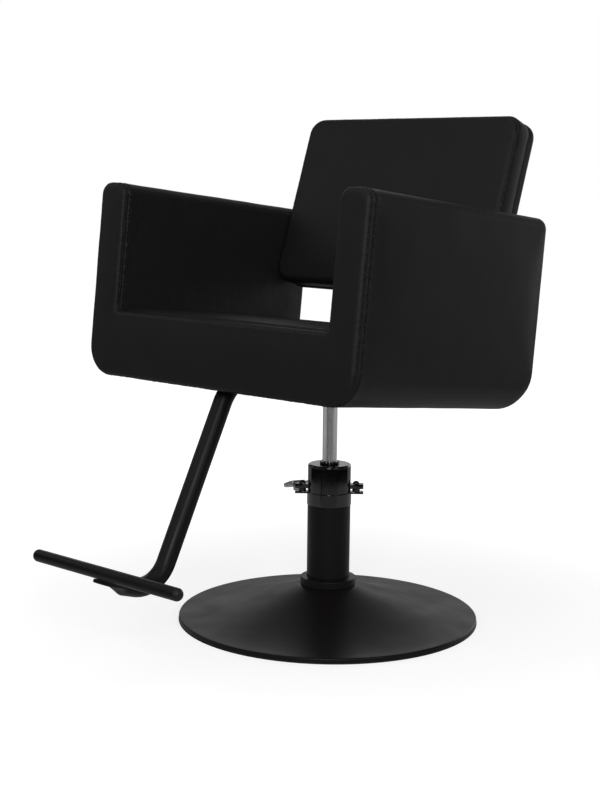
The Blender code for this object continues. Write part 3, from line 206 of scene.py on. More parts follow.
# The paper's colour: painted light where it is lit, painted shade in the dark ring and beyond the steps
tone = add(tree, "ShaderNodeMixRGB", {"Fac": lit, "Color1": linear("#101010"), "Color2": linear("#a8a8a8")})
paper = add(tree, "ShaderNodeBsdfDiffuse", {"Color": tone})
# Glossy rays see the lit paper and the patch glow: painted light, though no lamp is there
glow = add(tree, "ShaderNodeMath", {0: lit, 1: behind}, operation="MULTIPLY")
for operation, other in (
    ("ADD", patch),
    ("MULTIPLY", path["Is Glossy Ray"]),
    ("MULTIPLY", PAPER_GLOW),
    ("MAXIMUM", add(tree, "ShaderNodeMath", {0: white, 1: path["Is Camera Ray"]}, operation="MULTIPLY")),
):
    glow = add(tree, "ShaderNodeMath", {0: glow, 1: other}, operation=operation)
light = add(tree, "ShaderNodeEmission", {"Color": linear("#ffffff"), "Strength": glow})
both = add(tree, "ShaderNodeAddShader", {0: paper, 1: light})
add(tree, "ShaderNodeOutputMaterial", {"Surface": both})
floor_mesh.materials.append(floor_look)

LAMP_AIM = Vector((0, 0, 0.45))
for name, place, size, watts in (
    ("overhead_box", (0.1, -0.3, 2.7), (2.2, 2.2), 13),
    ("front_box", (-0.9, -3.0, 2.4), (3.0, 2.0), 23),
    ("camera_box", (2.2, -2.6, 1.7), (1.1, 0.9), 52),
    ("right_box", (2.9, -0.6, 1.9), (1.2, 1.6), 20),
    ("left_strip", (-2.4, -0.9, 1.5), (0.6, 2.0), 5),
    ("rear_box", (0.3, 3.0, 0.9), (2.0, 1.2), 19),
):
    lamp = bpy.data.lights.new(name, "AREA")
    lamp.shape = "RECTANGLE"
    lamp.size, lamp.size_y = size
    lamp.energy = watts
    box = bpy.data.objects.new(name, lamp)
    scene.collection.objects.link(box)
    box.location = place
    box.rotation_euler = (Vector(place) - LAMP_AIM).to_track_quat("Z", "Y").to_euler()


# Base dish: a steel disc spun over a former into a trumpet shape with a rolled edge, powder coated
# satin black. It sits over a flat steel plate, and a thin rubber strip runs round under its edge.
def new_look(name):
    """A new material, with its node tree and its shader."""
    made = bpy.data.materials.new(name)
    made.use_nodes = True
    return made, made.node_tree, made.node_tree.nodes["Principled BSDF"]


def finish(name, colour, shade, rough, patch_mm, grain_mm, relief_mm, metal=0.0, shine=0.5):
    """A surface that is cloudy between two colours, uneven in gloss and finely rough to the touch."""
    made, tree, shader = new_look(name)
    place = add(tree, "ShaderNodeTexCoord").outputs["Object"]
    clouds = add(tree, "ShaderNodeTexNoise", {"Vector": place, "Scale": 1 / (patch_mm * MM), "Detail": 4.0})
    tone = add(
        tree, "ShaderNodeMixRGB", {"Fac": clouds, "Color1": linear(colour), "Color2": linear(shade)}
    )
    gloss = add(
        tree,
        "ShaderNodeMapRange",
        {"Value": clouds, "From Min": 0.3, "From Max": 0.7, "To Min": rough[0], "To Max": rough[1]},
    )
    grain = add(tree, "ShaderNodeTexNoise", {"Vector": place, "Scale": 1 / (grain_mm * MM), "Detail": 2.0})
    relief = add(tree, "ShaderNodeBump", {"Height": grain, "Distance": relief_mm * MM})
    join(tree, shader, {"Base Color": tone, "Roughness": gloss, "Normal": relief})
    join(tree, shader, {"Metallic": metal, "Specular IOR Level": shine})
    return made


SHARP = math.radians(35)  # a sharper edge than this shades as an edge


def piece(name, shape, look, body, slot, *nodes, at=None):
    """Makes a shape a finished piece: placed in its mesh, shaded, on its body, in its nodes' stead."""
    if at is not None:
        bmesh.ops.transform(shape, matrix=at, verts=shape.verts)
    mesh = bpy.data.meshes.new(name)
    shape.to_mesh(mesh)
    shape.free()
    mesh.materials.append(look)
    mesh.shade_smooth()
    mesh.set_sharp_from_angle(angle=SHARP)
    made = bpy.data.objects.new(name, mesh)
    scene.collection.objects.link(made)
    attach(made, body)
    if nodes:
        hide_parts(*nodes)
    return made


def arc(centre, radius, start, end, steps):
    """Points along an arc, both ends included, with its angles in degrees."""
    angles = [math.radians(start + (end - start) * i / steps) for i in range(steps + 1)]
    return [(centre[0] + radius * math.cos(a), centre[1] + radius * math.sin(a)) for a in angles]


LONG_FACE = 12 * MM  # a longer face gets a line near each end, so its rounded edges shade only there
FACE_END = 1 * MM


def turned(profile, steps=96):
    """A shape turned about Z from (radius, height) points: a ring, or a solid if it ends on the axis."""
    closed = profile[0][0] and profile[-1][0]
    lines = []
    for start, end in zip(profile, profile[1:] + profile[:1]):
        lines.append(start)
        span = math.dist(start, end)
        if span > LONG_FACE and start[0] and end[0]:
            near = FACE_END / span
            lines += [tuple(Vector(start).lerp(Vector(end), share)) for share in (near, 1 - near)]
    shape = bmesh.new()
    rows = []
    for radius, height in lines:
        if radius == 0:
            rows.append([shape.verts.new((0, 0, height))] * steps)
            continue
        turns = [2 * math.pi * i / steps for i in range(steps)]
        rows.append([shape.verts.new((radius * math.cos(a), radius * math.sin(a), height)) for a in turns])
    pairs = list(zip(rows, rows[1:]))
    if closed:
        pairs.append((rows[-1], rows[0]))
    for upper, lower in pairs:
        for i in range(steps):
            corners = list(dict.fromkeys((upper[i], lower[i], lower[i - 1], upper[i - 1])))
            if len(corners) > 2:
                shape.faces.new(corners)
    bmesh.ops.recalc_face_normals(shape, faces=shape.faces)
    return shape


# Powder coat: polyester powder baked on, with a faint orange peel about 2 mm across
powder_coat = finish(
    "powder_coat_satin_black", "#121011", "#161415", (0.33, 0.43), 60, 2.2, 0.012, shine=0.12
)
# Rubber: moulded, dull and nearly even
rubber = finish("moulded_rubber_black", "#121212", "#191818", (0.6, 0.75), 20, 1.5, 0.03, shine=0.3)

DISH_RADIUS = 290 * MM
DISH_RIM = 10.8 * MM
DISH_TOP = 69 * MM
DISH_FLAT = 54 * MM
DISH_HOLE = 41.8 * MM
DISH_EDGE = 3 * MM
DISH_WALL = 2.5 * MM
DISH_SKIRT = 3.6 * MM
DISH_POINTS = 28


def dish_height(radius):
    share = (radius - DISH_FLAT) / (DISH_RADIUS - DISH_EDGE - DISH_FLAT)
    return DISH_RIM + (DISH_TOP - DISH_RIM) * (1 - min(max(share, 0), 1)) ** 1.5


dish_run = [
    DISH_FLAT + (DISH_RADIUS - DISH_EDGE - DISH_FLAT) * i / DISH_POINTS for i in range(DISH_POINTS + 1)
]
dish_profile = [(DISH_HOLE, DISH_TOP)] + [(r, dish_height(r)) for r in dish_run]
dish_profile += arc((DISH_RADIUS - DISH_EDGE, DISH_RIM - DISH_EDGE), DISH_EDGE, 90, 0, 6)[1:]
dish_profile += [(DISH_RADIUS, DISH_SKIRT), (DISH_RADIUS - DISH_WALL, DISH_SKIRT)]
dish_profile += [(r, dish_height(r) - DISH_WALL) for r in reversed(dish_run)][1:]
dish_profile += [(DISH_HOLE, DISH_TOP - DISH_WALL)]
piece("spun_base_dish", turned(dish_profile, 192), powder_coat, "base", "satin_powder_coat", "base_dish")


def ring(inner, outer, low, high, edge):
    """The profile of a ring whose outer edges are rounded."""
    upper = arc((outer - edge, high - edge), edge, 90, 0, 4)
    lower = arc((outer - edge, low + edge), edge, 0, -90, 4)
    return [(inner, high)] + upper + lower + [(inner, low)]


TRIM_OUT = 290.8 * MM
TRIM_IN = 283 * MM
TRIM_HIGH = 3 * MM
TRIM_ROUND = 1.2 * MM
trim = turned(ring(TRIM_IN, TRIM_OUT, 0, TRIM_HIGH, TRIM_ROUND), 192)
piece("rubber_edge_strip", trim, rubber, "base", "black_rubber", "edge_trim")


# Inside of the base: a flat plate, the pump's foot and its bolts, all zinc plated and hidden by the
# dish apart from the plate's underside. Their solids show as they are.
def dress(look, *nodes):
    """Gives its material to each CAD node that shows as it is."""
    for node in nodes:
        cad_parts[node].data.materials.clear()
        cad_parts[node].data.materials.append(look)


# Zinc: bright plate, slightly clouded. Bronze: pressed from powder and sintered, so finely pitted
zinc = finish("zinc_plated_steel", "#8f9092", "#a4a4a2", (0.28, 0.42), 25, 0.8, 0.006, metal=1.0)
bronze = finish("sintered_bronze", "#8a6a3c", "#9c7a48", (0.35, 0.5), 15, 0.6, 0.01, metal=1.0)
dress(zinc, "base_plate", "pump_foot", "foot_bolt_1", "foot_bolt_2", "foot_bolt_3", "pump_cylinder")

# Column: a steel tube stands round the pump on the base, and a flat turned collar hides the hole in
# the dish. Both are powder coated as the dish is.
COLUMN_OUT = 41.5 * MM
COLUMN_IN = 39 * MM
COLUMN_LOW = 18.6 * MM
COLUMN_TOP = 227 * MM
COLUMN_EDGE = 0.8 * MM
COLLAR_OUT = 54 * MM
COLLAR_LOW = 69.3 * MM
COLLAR_TOP = 84.3 * MM
COLLAR_NECK = 86.3 * MM
COLLAR_ROUND = 2 * MM
COLLAR_BORE = 41.8 * MM
sleeve = turned(ring(COLUMN_IN, COLUMN_OUT, COLUMN_LOW, COLUMN_TOP, COLUMN_EDGE))
piece("column_tube", sleeve, powder_coat, "base", "satin_powder_coat", "column_sleeve")
collar_profile = [(COLLAR_BORE, COLLAR_NECK), (COLLAR_BORE + COLLAR_ROUND, COLLAR_NECK)]
collar_profile += arc((COLLAR_OUT - COLLAR_ROUND, COLLAR_TOP - COLLAR_ROUND), COLLAR_ROUND, 105, 0, 8)
collar_profile += arc((COLLAR_OUT - COLUMN_EDGE, COLLAR_LOW + COLUMN_EDGE), COLUMN_EDGE, 0, -90, 3)
collar_profile += [(COLLAR_BORE, COLLAR_LOW)]
collar = turned(collar_profile)
piece("column_foot_collar", collar, powder_coat, "base", "satin_powder_coat", "base_collar")


# Pump head: cast iron on a clamping band. Two bolted ears hold the halves together, a fork carries
# the pedal, and both castings are sprayed gloss black.
def box(low, high, edge):
    """A block between two corners with its edges rounded."""
    shape = bmesh.new()
    bmesh.ops.create_cube(shape, size=1)
    for vert in shape.verts:
        vert.co = [a + (b - a) * (c + 0.5) for a, b, c in zip(low, high, vert.co)]
    bmesh.ops.bevel(shape, geom=shape.edges, offset=edge, segments=2, profile=0.5, affect="EDGES")
    return shape


def lofted(rows, closed=False):
    """A shape through rows of points, each a loop: its ends are filled, or joined if it is closed."""
    shape = bmesh.new()
    loops = [[shape.verts.new(point) for point in row] for row in rows]
    for low, high in zip(loops, loops[1:] + loops[:closed]):
        for i in range(len(low)):
            shape.faces.new((low[i - 1], low[i], high[i], high[i - 1]))
    if not closed:
        shape.faces.new(loops[0][::-1])
        shape.faces.new(loops[-1])
    bmesh.ops.recalc_face_normals(shape, faces=shape.faces)
    return shape


def slab(outline, low, high, edge, steps=3):
    """A flat shape of an outline in (x, y) between two heights, with its rims rounded."""
    shape = lofted([[(x, y, height) for x, y in outline] for height in (low, high)])
    rims = [e for e in shape.edges if e.verts[0].co.z == e.verts[1].co.z]
    bmesh.ops.bevel(shape, geom=rims, offset=edge, segments=steps, profile=0.5, affect="EDGES")
    return shape


def blank(shape):
    """A shape as an object for modifiers to work on."""
    mesh = bpy.data.meshes.new("blank")
    shape.to_mesh(mesh)
    shape.free()
    made = bpy.data.objects.new("blank", mesh)
    scene.collection.objects.link(made)
    return made


def combine(shape, other, how):
    """Joins one closed shape to another, or cuts it with it."""
    pair = [blank(shape), blank(other)]
    work = pair[0].modifiers.new("work", "BOOLEAN")
    work.operation = how
    work.solver = "EXACT"
    work.object = pair[1]
    result = bmesh.new()
    result.from_object(pair[0], bpy.context.evaluated_depsgraph_get())
    for half in pair:
        bpy.data.meshes.remove(half.data)
    bmesh.ops.remove_doubles(result, verts=result.verts, dist=0.002 * MM)
    return result


def moved(shape, matrix):
    """The same shape, moved."""
    bmesh.ops.transform(shape, matrix=matrix, verts=shape.verts)
    return shape


def drum(radius, low, high):
    """A plain cylinder between two heights."""
    return turned([(0, high), (radius, high), (radius, low), (0, low)], 32)


# Gloss enamel: sprayed and baked, so it mirrors lamps with only a slow ripple
gloss = finish("gloss_black_enamel", "#0a0a0a", "#101010", (0.05, 0.1), 40, 9, 0.02)
GAP = 0.3 * MM  # left between pieces that touch
PUMP_TURN = Matrix.Rotation(math.radians(41.2), 4, "Z")
BAND_OUT = 42.7 * MM
BAND_LOW = 227.3 * MM
BAND_TOP = 253 * MM
EAR_OUT = 66 * MM
EAR_HALF = 8 * MM
EAR_EDGE = 0.7 * MM
EAR_BOLT_AT = 52 * MM
EAR_HOLE = 4.3 * MM
POST_RADIUS = 7.5 * MM
LOWER_EAR = (248.5 * MM, 252.7 * MM)
UPPER_EAR = (258.6 * MM, 267.6 * MM)
HEAD_OUT = 41.5 * MM
HEAD_LOW = 253.3 * MM
HEAD_TOP = 307 * MM
HEAD_EDGE = 4 * MM
SPIGOT_OUT = 38.7 * MM
SPIGOT_LOW = 215 * MM
HEAD_BORE = 17.6 * MM
HEAD_LEDGE = 15.1 * MM
LEDGE_TOP = 236.7 * MM

band = turned(ring(COLUMN_IN, BAND_OUT, BAND_LOW, BAND_TOP, COLUMN_EDGE))
head_profile = [(HEAD_BORE, HEAD_TOP)]
head_profile += arc((HEAD_OUT - HEAD_EDGE, HEAD_TOP - HEAD_EDGE), HEAD_EDGE, 90, 0, 8)
head_profile += [(HEAD_OUT, UPPER_EAR[1]), (HEAD_OUT, HEAD_LOW), (SPIGOT_OUT, HEAD_LOW)]
head_profile += [(SPIGOT_OUT, SPIGOT_LOW), (HEAD_LEDGE, SPIGOT_LOW)]
head_profile += [(HEAD_LEDGE, LEDGE_TOP), (HEAD_BORE, LEDGE_TOP)]
head = turned(head_profile)
for side in (-1, 1):
    near, far = sorted((side * (COLUMN_IN + BAND_OUT) / 2, side * EAR_OUT))
    lower_ear = box((near, -EAR_HALF, LOWER_EAR[0]), (far, EAR_HALF, LOWER_EAR[1]), EAR_EDGE)
    band = combine(band, lower_ear, "UNION")
    post = drum(POST_RADIUS, sum(LOWER_EAR) / 2, UPPER_EAR[0] - GAP)
    band = combine(band, moved(post, Matrix.Translation((side * EAR_BOLT_AT, 0, 0))), "UNION")
    near, far = sorted((side * (HEAD_OUT - HEAD_EDGE), side * EAR_OUT))
    upper_ear = box((near, -EAR_HALF, UPPER_EAR[0]), (far, EAR_HALF, UPPER_EAR[1]), EAR_EDGE)
    head = combine(head, upper_ear, "UNION")

# The fork's frame has its X along the pedal and its Z up, from the pivot's height
FORK = Matrix.Rotation(math.radians(156.2), 4, "Z") @ Matrix.Translation((0, 0, 266 * MM))
PIVOT_OUT = 52 * MM
CHEEK_RADIUS = 9.5 * MM
CHEEK_IN = 6 * MM
CHEEK_OUT = 13 * MM
SLOT_LOW = (24 * MM, -CHEEK_IN, -6 * MM)
SLOT_HIGH = (61.5 * MM, CHEEK_IN, 12.1 * MM)
SLOT_EDGE = 0.3 * MM
PIN_RADIUS = 4 * MM
PIN_HALF = 14.5 * MM
PIN_EDGE = 0.8 * MM
PIN_HOLE_HALF = 40 * MM
PLUNGER_OUT = 30 * MM
PLUNGER_BORE = (5.3 * MM, 11 * MM, 36.9 * MM)
OVERLAP = 0.01 * MM
UPRIGHT = Matrix.Rotation(QUARTER, 4, "X")
head = moved(head, PUMP_TURN)
cheek_outline = [(HEAD_OUT - HEAD_EDGE, -CHEEK_RADIUS)]
cheek_outline += arc((PIVOT_OUT, 0), CHEEK_RADIUS, -90, 90, 24)
cheek_outline += [(HEAD_OUT - HEAD_EDGE, CHEEK_RADIUS)]
for low, high in ((-CHEEK_OUT, -CHEEK_IN + OVERLAP), (CHEEK_IN - OVERLAP, CHEEK_OUT)):
    head = combine(head, moved(slab(cheek_outline, low, high, EAR_EDGE), FORK @ UPRIGHT), "UNION")
head = combine(head, moved(box(SLOT_LOW, SLOT_HIGH, SLOT_EDGE), FORK), "DIFFERENCE")
PEDAL = FORK @ Matrix.Translation((PIVOT_OUT, 0, 0))
hole = drum(EAR_HOLE, -PIN_HOLE_HALF, PIN_HOLE_HALF)
head = combine(head, moved(hole, PEDAL @ UPRIGHT), "DIFFERENCE")
bore = moved(drum(*PLUNGER_BORE), FORK @ Matrix.Translation((PLUNGER_OUT, 0, 0)))
head = combine(head, bore, "DIFFERENCE")
for side in (-1, 1):
    hole = drum(EAR_HOLE, BAND_LOW, HEAD_TOP)
    at_ear = Matrix.Translation((side * EAR_BOLT_AT, 0, 0))
    head = combine(head, moved(hole.copy(), PUMP_TURN @ at_ear), "DIFFERENCE")
    band = combine(band, moved(hole, at_ear), "DIFFERENCE")
piece("clamping_band", band, gloss, "base", "gloss_paint", "column_band", at=PUMP_TURN)
piece("cast_pump_head", head, gloss, "base", "gloss_paint", "pump_head")

SIDES = ((1, "left"), (-1, "right"))
EAR_BOLT_HEAD = 6.5 * MM
EAR_BOLT_DOME = 5.5 * MM
EAR_BOLT_SHANK = 4 * MM
SOCKET_RADIUS = 2.6 * MM
SOCKET_LOW = 2.5 * MM
SOCKET_TOP = 9 * MM
SOCKET_EDGE = 0.05 * MM
for side, word in SIDES:
    node = f"ear_bolt_{word}"
    dome_low, shank_low = UPPER_EAR[1] + GAP, LOWER_EAR[0] + GAP
    dome = [(EAR_BOLT_HEAD * x, dome_low + EAR_BOLT_DOME * z) for x, z in arc((0, 0), 1, 90, 0, 10)]
    dome[0] = (0, dome_low + EAR_BOLT_DOME)
    dome += [(EAR_BOLT_SHANK, dome_low), (EAR_BOLT_SHANK, shank_low), (0, shank_low)]
    hexagon = arc((0, 0), SOCKET_RADIUS, 0, 300, 5)
    socket = slab(hexagon, dome_low + SOCKET_LOW, dome_low + SOCKET_TOP, SOCKET_EDGE, 1)
    bolt = combine(turned(dome, 40), socket, "DIFFERENCE")
    place = PUMP_TURN @ Matrix.Translation((side * EAR_BOLT_AT, 0, 0))
    piece(f"domed_{node}", bolt, gloss, "base", "gloss_paint", node, at=place)

# Gland: a steel ring screwed into the head, in the same paint, with four spanner slots. It keeps the
# rod's wiper in its place.
GLAND_OUT = 19 * MM
GLAND_IN = 14.3 * MM
GLAND_LOW = 307.3 * MM
GLAND_TOP = 312.3 * MM
GLAND_ROUND = 1.2 * MM
GLAND_SLOT = 2 * MM
GLAND_SLOT_EDGE = 0.2 * MM
gland = turned(ring(GLAND_IN, GLAND_OUT, GLAND_LOW, GLAND_TOP, GLAND_ROUND))
for turn in (20, 110):
    low = (-2 * GLAND_OUT, -GLAND_SLOT, GLAND_TOP - GLAND_SLOT)
    cutter = box(low, (2 * GLAND_OUT, GLAND_SLOT, GLAND_TOP + GLAND_SLOT), GLAND_SLOT_EDGE)
    gland = combine(gland, moved(cutter, Matrix.Rotation(math.radians(turn), 4, "Z")), "DIFFERENCE")
piece("slotted_gland", gland, gloss, "base", "gloss_paint", "rod_gland")
dress(bronze, "rod_bush")
dress(zinc, "pump_plunger")

# Plunger spring: four turns of plated wire in the head's small bore, between the plunger and the bore's
# end. The pedal pushes the plunger up and presses the turns together.
SPRING_WIRE = 0.6 * MM
SPRING_OUT = 4.1 * MM
SPRING_TURNS = 4
TURN_STEPS = 24
spring_low, spring_high = (Vector(corner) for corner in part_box("plunger_spring"))
spring_foot = Vector((*(spring_low + spring_high).xy / 2, spring_low.z))
spring_rise = spring_high.z - spring_low.z - 2 * SPRING_WIRE
wire_rows = []
wire_steps = SPRING_TURNS * TURN_STEPS
up = Vector((0, 0, 1))
for i in range(wire_steps + 1):
    turn = 2 * math.pi * i / TURN_STEPS
    out = Vector((math.cos(turn), math.sin(turn), 0))
    middle = spring_foot + out * SPRING_OUT + up * (SPRING_WIRE + spring_rise * i / wire_steps)
    wire_rows.append([middle + out * x + up * z for x, z in arc((0, 0), SPRING_WIRE, 0, 315, 7)])
made = piece("coiled_plunger_spring", lofted(wire_rows), zinc, "plunger", "zinc_steel", "plunger_spring")
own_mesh(made)

# Pedal: a square steel lever in the head's fork with a flat foot pad welded to its end, both in dull
# nickel plate, turning on a plain steel pin.
# Nickel: plated over blasted steel, so it shines softly and shows no image
nickel = finish("dull_nickel_plate", "#8c8b8a", "#a09f9e", (0.3, 0.42), 18, 1.2, 0.01, metal=1.0)
SLOPE = math.radians(19.5)
LEVER_HALF = 5 * MM
LEVER_REACH = 118 * MM
LEVER_BOSS = 8.5 * MM
LEVER_EDGE = 1 * MM
NOSE_BACK = 22 * MM
PAD_MID = 121 * MM
PAD_HALF = 25 * MM
PAD_SIDE = 18 * MM
PAD_NOSE = 16 * MM
PAD_HEEL = 8 * MM
PAD_THICK = 8 * MM
PAD_ROUND = 2.6 * MM
along = Vector((math.cos(SLOPE), -math.sin(SLOPE)))
across = Vector((math.sin(SLOPE), math.cos(SLOPE)))
meet = math.degrees(math.asin(LEVER_HALF / LEVER_BOSS))
slope = math.degrees(SLOPE)
lever_outline = arc((-NOSE_BACK, 0), LEVER_HALF, -90, -270, 16)
lever_outline += arc((0, 0), LEVER_BOSS, 180 - meet, meet - slope, 16)
lever_outline += [tuple(along * LEVER_REACH + across * side) for side in (LEVER_HALF, -LEVER_HALF)]
lever_outline += arc((0, 0), LEVER_BOSS, -meet - slope, meet - 180, 16)
lever = slab(lever_outline, -LEVER_HALF, LEVER_HALF, LEVER_EDGE)
lever = combine(lever, drum(EAR_HOLE, -PIN_HOLE_HALF / 2, PIN_HOLE_HALF / 2), "DIFFERENCE")
piece("pedal_lever_bar", lever, nickel, "pedal", "chrome", "pedal_lever", at=PEDAL @ UPRIGHT)
pad_outline = []
for x, y, radius, start in (
    (PAD_HALF - PAD_NOSE, -PAD_SIDE + PAD_NOSE, PAD_NOSE, -90),
    (PAD_HALF - PAD_NOSE, PAD_SIDE - PAD_NOSE, PAD_NOSE, 0),
    (PAD_HEEL - PAD_HALF, PAD_SIDE - PAD_HEEL, PAD_HEEL, 90),
    (PAD_HEEL - PAD_HALF, PAD_HEEL - PAD_SIDE, PAD_HEEL, 180),
):
    pad_outline += arc((x, y), radius, start, start + 90, 12)
pad_place = along * PAD_MID + across * (LEVER_HALF + GAP)
pad_turn = PEDAL @ Matrix.Translation((pad_place.x, 0, pad_place.y)) @ Matrix.Rotation(SLOPE, 4, "Y")
foot_pad = slab(pad_outline, 0, PAD_THICK, PAD_ROUND, 5)
piece("pedal_foot_pad", foot_pad, nickel, "pedal", "chrome", "pedal_pad", at=pad_turn)
pin = turned(ring(0, PIN_RADIUS, -PIN_HALF, PIN_HALF, PIN_EDGE), 32)
piece("pedal_pivot_pin", pin, zinc, "base", "zinc_steel", "pedal_pin", at=PEDAL @ UPRIGHT)

# Lifting rod: ground steel bar, hard chromed, pushed up by the oil. The piston and its seal run in the
# cylinder, and the bronze washer at its shoulder carries the turning seat.
CHROME_STREAK_MM = (0.7, 0.7, 45)
chrome, tree, shader = new_look("hard_chrome_on_ground_steel")
# Grinding leaves fine streaks along the rod, which draw the reflections out lengthwise
place = add(tree, "ShaderNodeTexCoord").outputs["Object"]
streak_scale = [1 / (s * MM) for s in CHROME_STREAK_MM]
streaks = add(tree, "ShaderNodeMapping", {"Vector": place, "Scale": streak_scale})
lines = add(tree, "ShaderNodeTexNoise", {"Vector": streaks, "Scale": 1.0, "Detail": 3.0})
tones = {"Color1": linear("#d2d1d4"), "Color2": linear("#ebeaec")}
tone = add(tree, "ShaderNodeMixRGB", {"Fac": lines, **tones})
dull = add(tree, "ShaderNodeMapRange", {"Value": lines, "To Min": 0.12, "To Max": 0.3})
relief = add(tree, "ShaderNodeBump", {"Height": lines, "Distance": 0.01 * MM})
join(tree, shader, {"Base Color": tone, "Roughness": dull, "Normal": relief, "Metallic": 1.0})

ROD_OUT = 14 * MM
ROD_LOW = 167 * MM
ROD_SHOULDER = 420.4 * MM
ROD_EDGE = 0.6 * MM
PISTON_STUD = 8 * MM
JOURNAL_OUT = 11 * MM
JOURNAL_TOP = 470.4 * MM
JOURNAL_EDGE = 1 * MM
WASHER = (11.3 * MM, 18 * MM, 420.7 * MM, 423.7 * MM)
rod_foot, rod_head = (corner[2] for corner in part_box("piston_rod"))
rod_profile = [(0, JOURNAL_TOP), (JOURNAL_OUT - JOURNAL_EDGE, JOURNAL_TOP)]
rod_profile += [(JOURNAL_OUT, JOURNAL_TOP - JOURNAL_EDGE), (JOURNAL_OUT, ROD_SHOULDER)]
rod_profile += [(ROD_OUT - ROD_EDGE, ROD_SHOULDER), (ROD_OUT, ROD_SHOULDER - ROD_EDGE)]
rod_profile += [(ROD_OUT, ROD_LOW), (PISTON_STUD, ROD_LOW), (PISTON_STUD, rod_foot), (0, rod_foot)]
piece("lifting_rod", turned(rod_profile, 64), chrome, "lift", "chrome", "piston_rod")
washer = turned(ring(*WASHER, ROD_EDGE), 64)
piece("bronze_thrust_washer", washer, bronze, "lift", "bronze", "thrust_washer")
dress(zinc, "piston")
dress(rubber, "piston_seal")

# Swivel hub and seat plate: a turned steel boss welded under a pressed plate, powder coated, which the
# seat board is bolted to. The seat is raked, so the boss is mitred where it meets the plate.
SEAT = Matrix.Translation((0, 0, 445 * MM)) @ Matrix.Rotation(math.radians(-6.4), 4, "X")
HUB_LOW = 424 * MM
HUB_OUT = 27 * MM
HUB_TOP_OUT = 33 * MM
HUB_STEP = 454 * MM
HUB_HIGH = 510 * MM
HUB_BORE = 11.3 * MM
HUB_BORE_TOP = rod_head + GAP
HUB_EDGE = 1 * MM
MITRE = 100 * MM
PLATE_LOW = 39.7 * MM
PLATE_THICK = 4 * MM
PLATE_X = 95 * MM
PLATE_Y = 80 * MM
PLATE_CORNER = 18 * MM
PLATE_EDGE = 0.6 * MM
hub_profile = [(0, HUB_HIGH), (HUB_TOP_OUT, HUB_HIGH), (HUB_TOP_OUT, HUB_STEP)]
hub_profile += [(HUB_OUT, HUB_STEP - HUB_TOP_OUT + HUB_OUT)]
hub_profile += arc((HUB_OUT - HUB_EDGE, HUB_LOW + HUB_EDGE), HUB_EDGE, 0, -90, 4)
hub_profile += [(HUB_BORE, HUB_LOW), (HUB_BORE, HUB_BORE_TOP), (0, HUB_BORE_TOP)]
hub = turned(hub_profile, 72)
mitre = box((-MITRE, -MITRE, PLATE_LOW - GAP), (MITRE, MITRE, 2 * MITRE), HUB_EDGE)
hub = combine(hub, moved(mitre, SEAT), "DIFFERENCE")
piece("mitred_swivel_hub", hub, powder_coat, "seat", "satin_powder_coat", "swivel_hub")


def round_corners(x, y, radius, steps=10):
    """A rectangle's outline about the origin, its corners rounded."""
    outline = []
    for side_x, side_y, start in ((1, -1, -90), (1, 1, 0), (-1, 1, 90), (-1, -1, 180)):
        outline += arc((side_x * (x - radius), side_y * (y - radius)), radius, start, start + 90, steps)
    return outline


plate_outline = round_corners(PLATE_X, PLATE_Y, PLATE_CORNER)
plate = slab(plate_outline, PLATE_LOW, PLATE_LOW + PLATE_THICK, PLATE_EDGE)
piece("pressed_seat_plate", plate, powder_coat, "seat", "satin_powder_coat", "seat_plate", at=SEAT)


# Bolts under the seat: zinc plated hexagon heads with a pressed flange, four in the plate, two in the
# back's brackets and four in the footrest's saddle, all screwed up into the plywood.
def new_group(name, start, sizes, look, end):
    """A geometry node tree and its inputs: geometry, lengths and a material in, and geometry out."""
    made = bpy.data.node_groups.new(name, "GeometryNodeTree")
    made.interface.new_socket(start, in_out="INPUT", socket_type="NodeSocketGeometry")
    for word, value in sizes.items():
        made.interface.new_socket(word, in_out="INPUT", socket_type="NodeSocketFloat").default_value = value
    made.interface.new_socket(look, in_out="INPUT", socket_type="NodeSocketMaterial")
    made.interface.new_socket(end, in_out="OUTPUT", socket_type="NodeSocketGeometry")
    return made, add(made, "NodeGroupInput").outputs


def spread_out(tree, look, places):
    """Ends a node tree: its shape put at each place, made real, and given its material."""
    spread = add(tree, "GeometryNodeInstanceOnPoints", places)
    real = add(tree, "GeometryNodeRealizeInstances", {0: spread})
    dressed = add(tree, "GeometryNodeSetMaterial", {"Geometry": real, "Material": look})
    add(tree, "NodeGroupOutput", {0: dressed})


bolt_sizes = {
    "Across corners": 15 * MM,
    "Head height": 4 * MM,
    "Flange radius": 8 * MM,
    "Flange height": 1 * MM,
    "Shank radius": 4 * MM,
    "Shank length": 19 * MM,
}
bolting, sizes = new_group("hexagon_bolts", "Places", bolt_sizes, "Finish", "Bolts")
half, shank_mid, flange_mid, head_half = (
    add(bolting, "ShaderNodeMath", {0: sizes[word], 1: share}, operation="MULTIPLY")
    for word, share in (
        ("Across corners", 0.5),
        ("Shank length", 0.5),
        ("Flange height", -0.5),
        ("Head height", -0.5),
    )
)
head_mid = add(bolting, "ShaderNodeMath", {0: head_half, 1: sizes["Flange height"]}, operation="SUBTRACT")
joined = add(bolting, "GeometryNodeJoinGeometry")
for sides, radius, depth, middle in (
    (6, half, sizes["Head height"], head_mid),
    (24, sizes["Flange radius"], sizes["Flange height"], flange_mid),
    (16, sizes["Shank radius"], sizes["Shank length"], shank_mid),
):
    part = add(bolting, "GeometryNodeMeshCylinder", {"Vertices": sides, "Radius": radius, "Depth": depth})
    lift = add(bolting, "ShaderNodeCombineXYZ", {"Z": middle})
    set_up = add(bolting, "GeometryNodeTransform", {"Geometry": part, "Translation": lift})
    join(bolting, joined, {0: set_up})
spread_out(bolting, sizes["Finish"], {"Points": sizes["Places"], "Instance": joined})


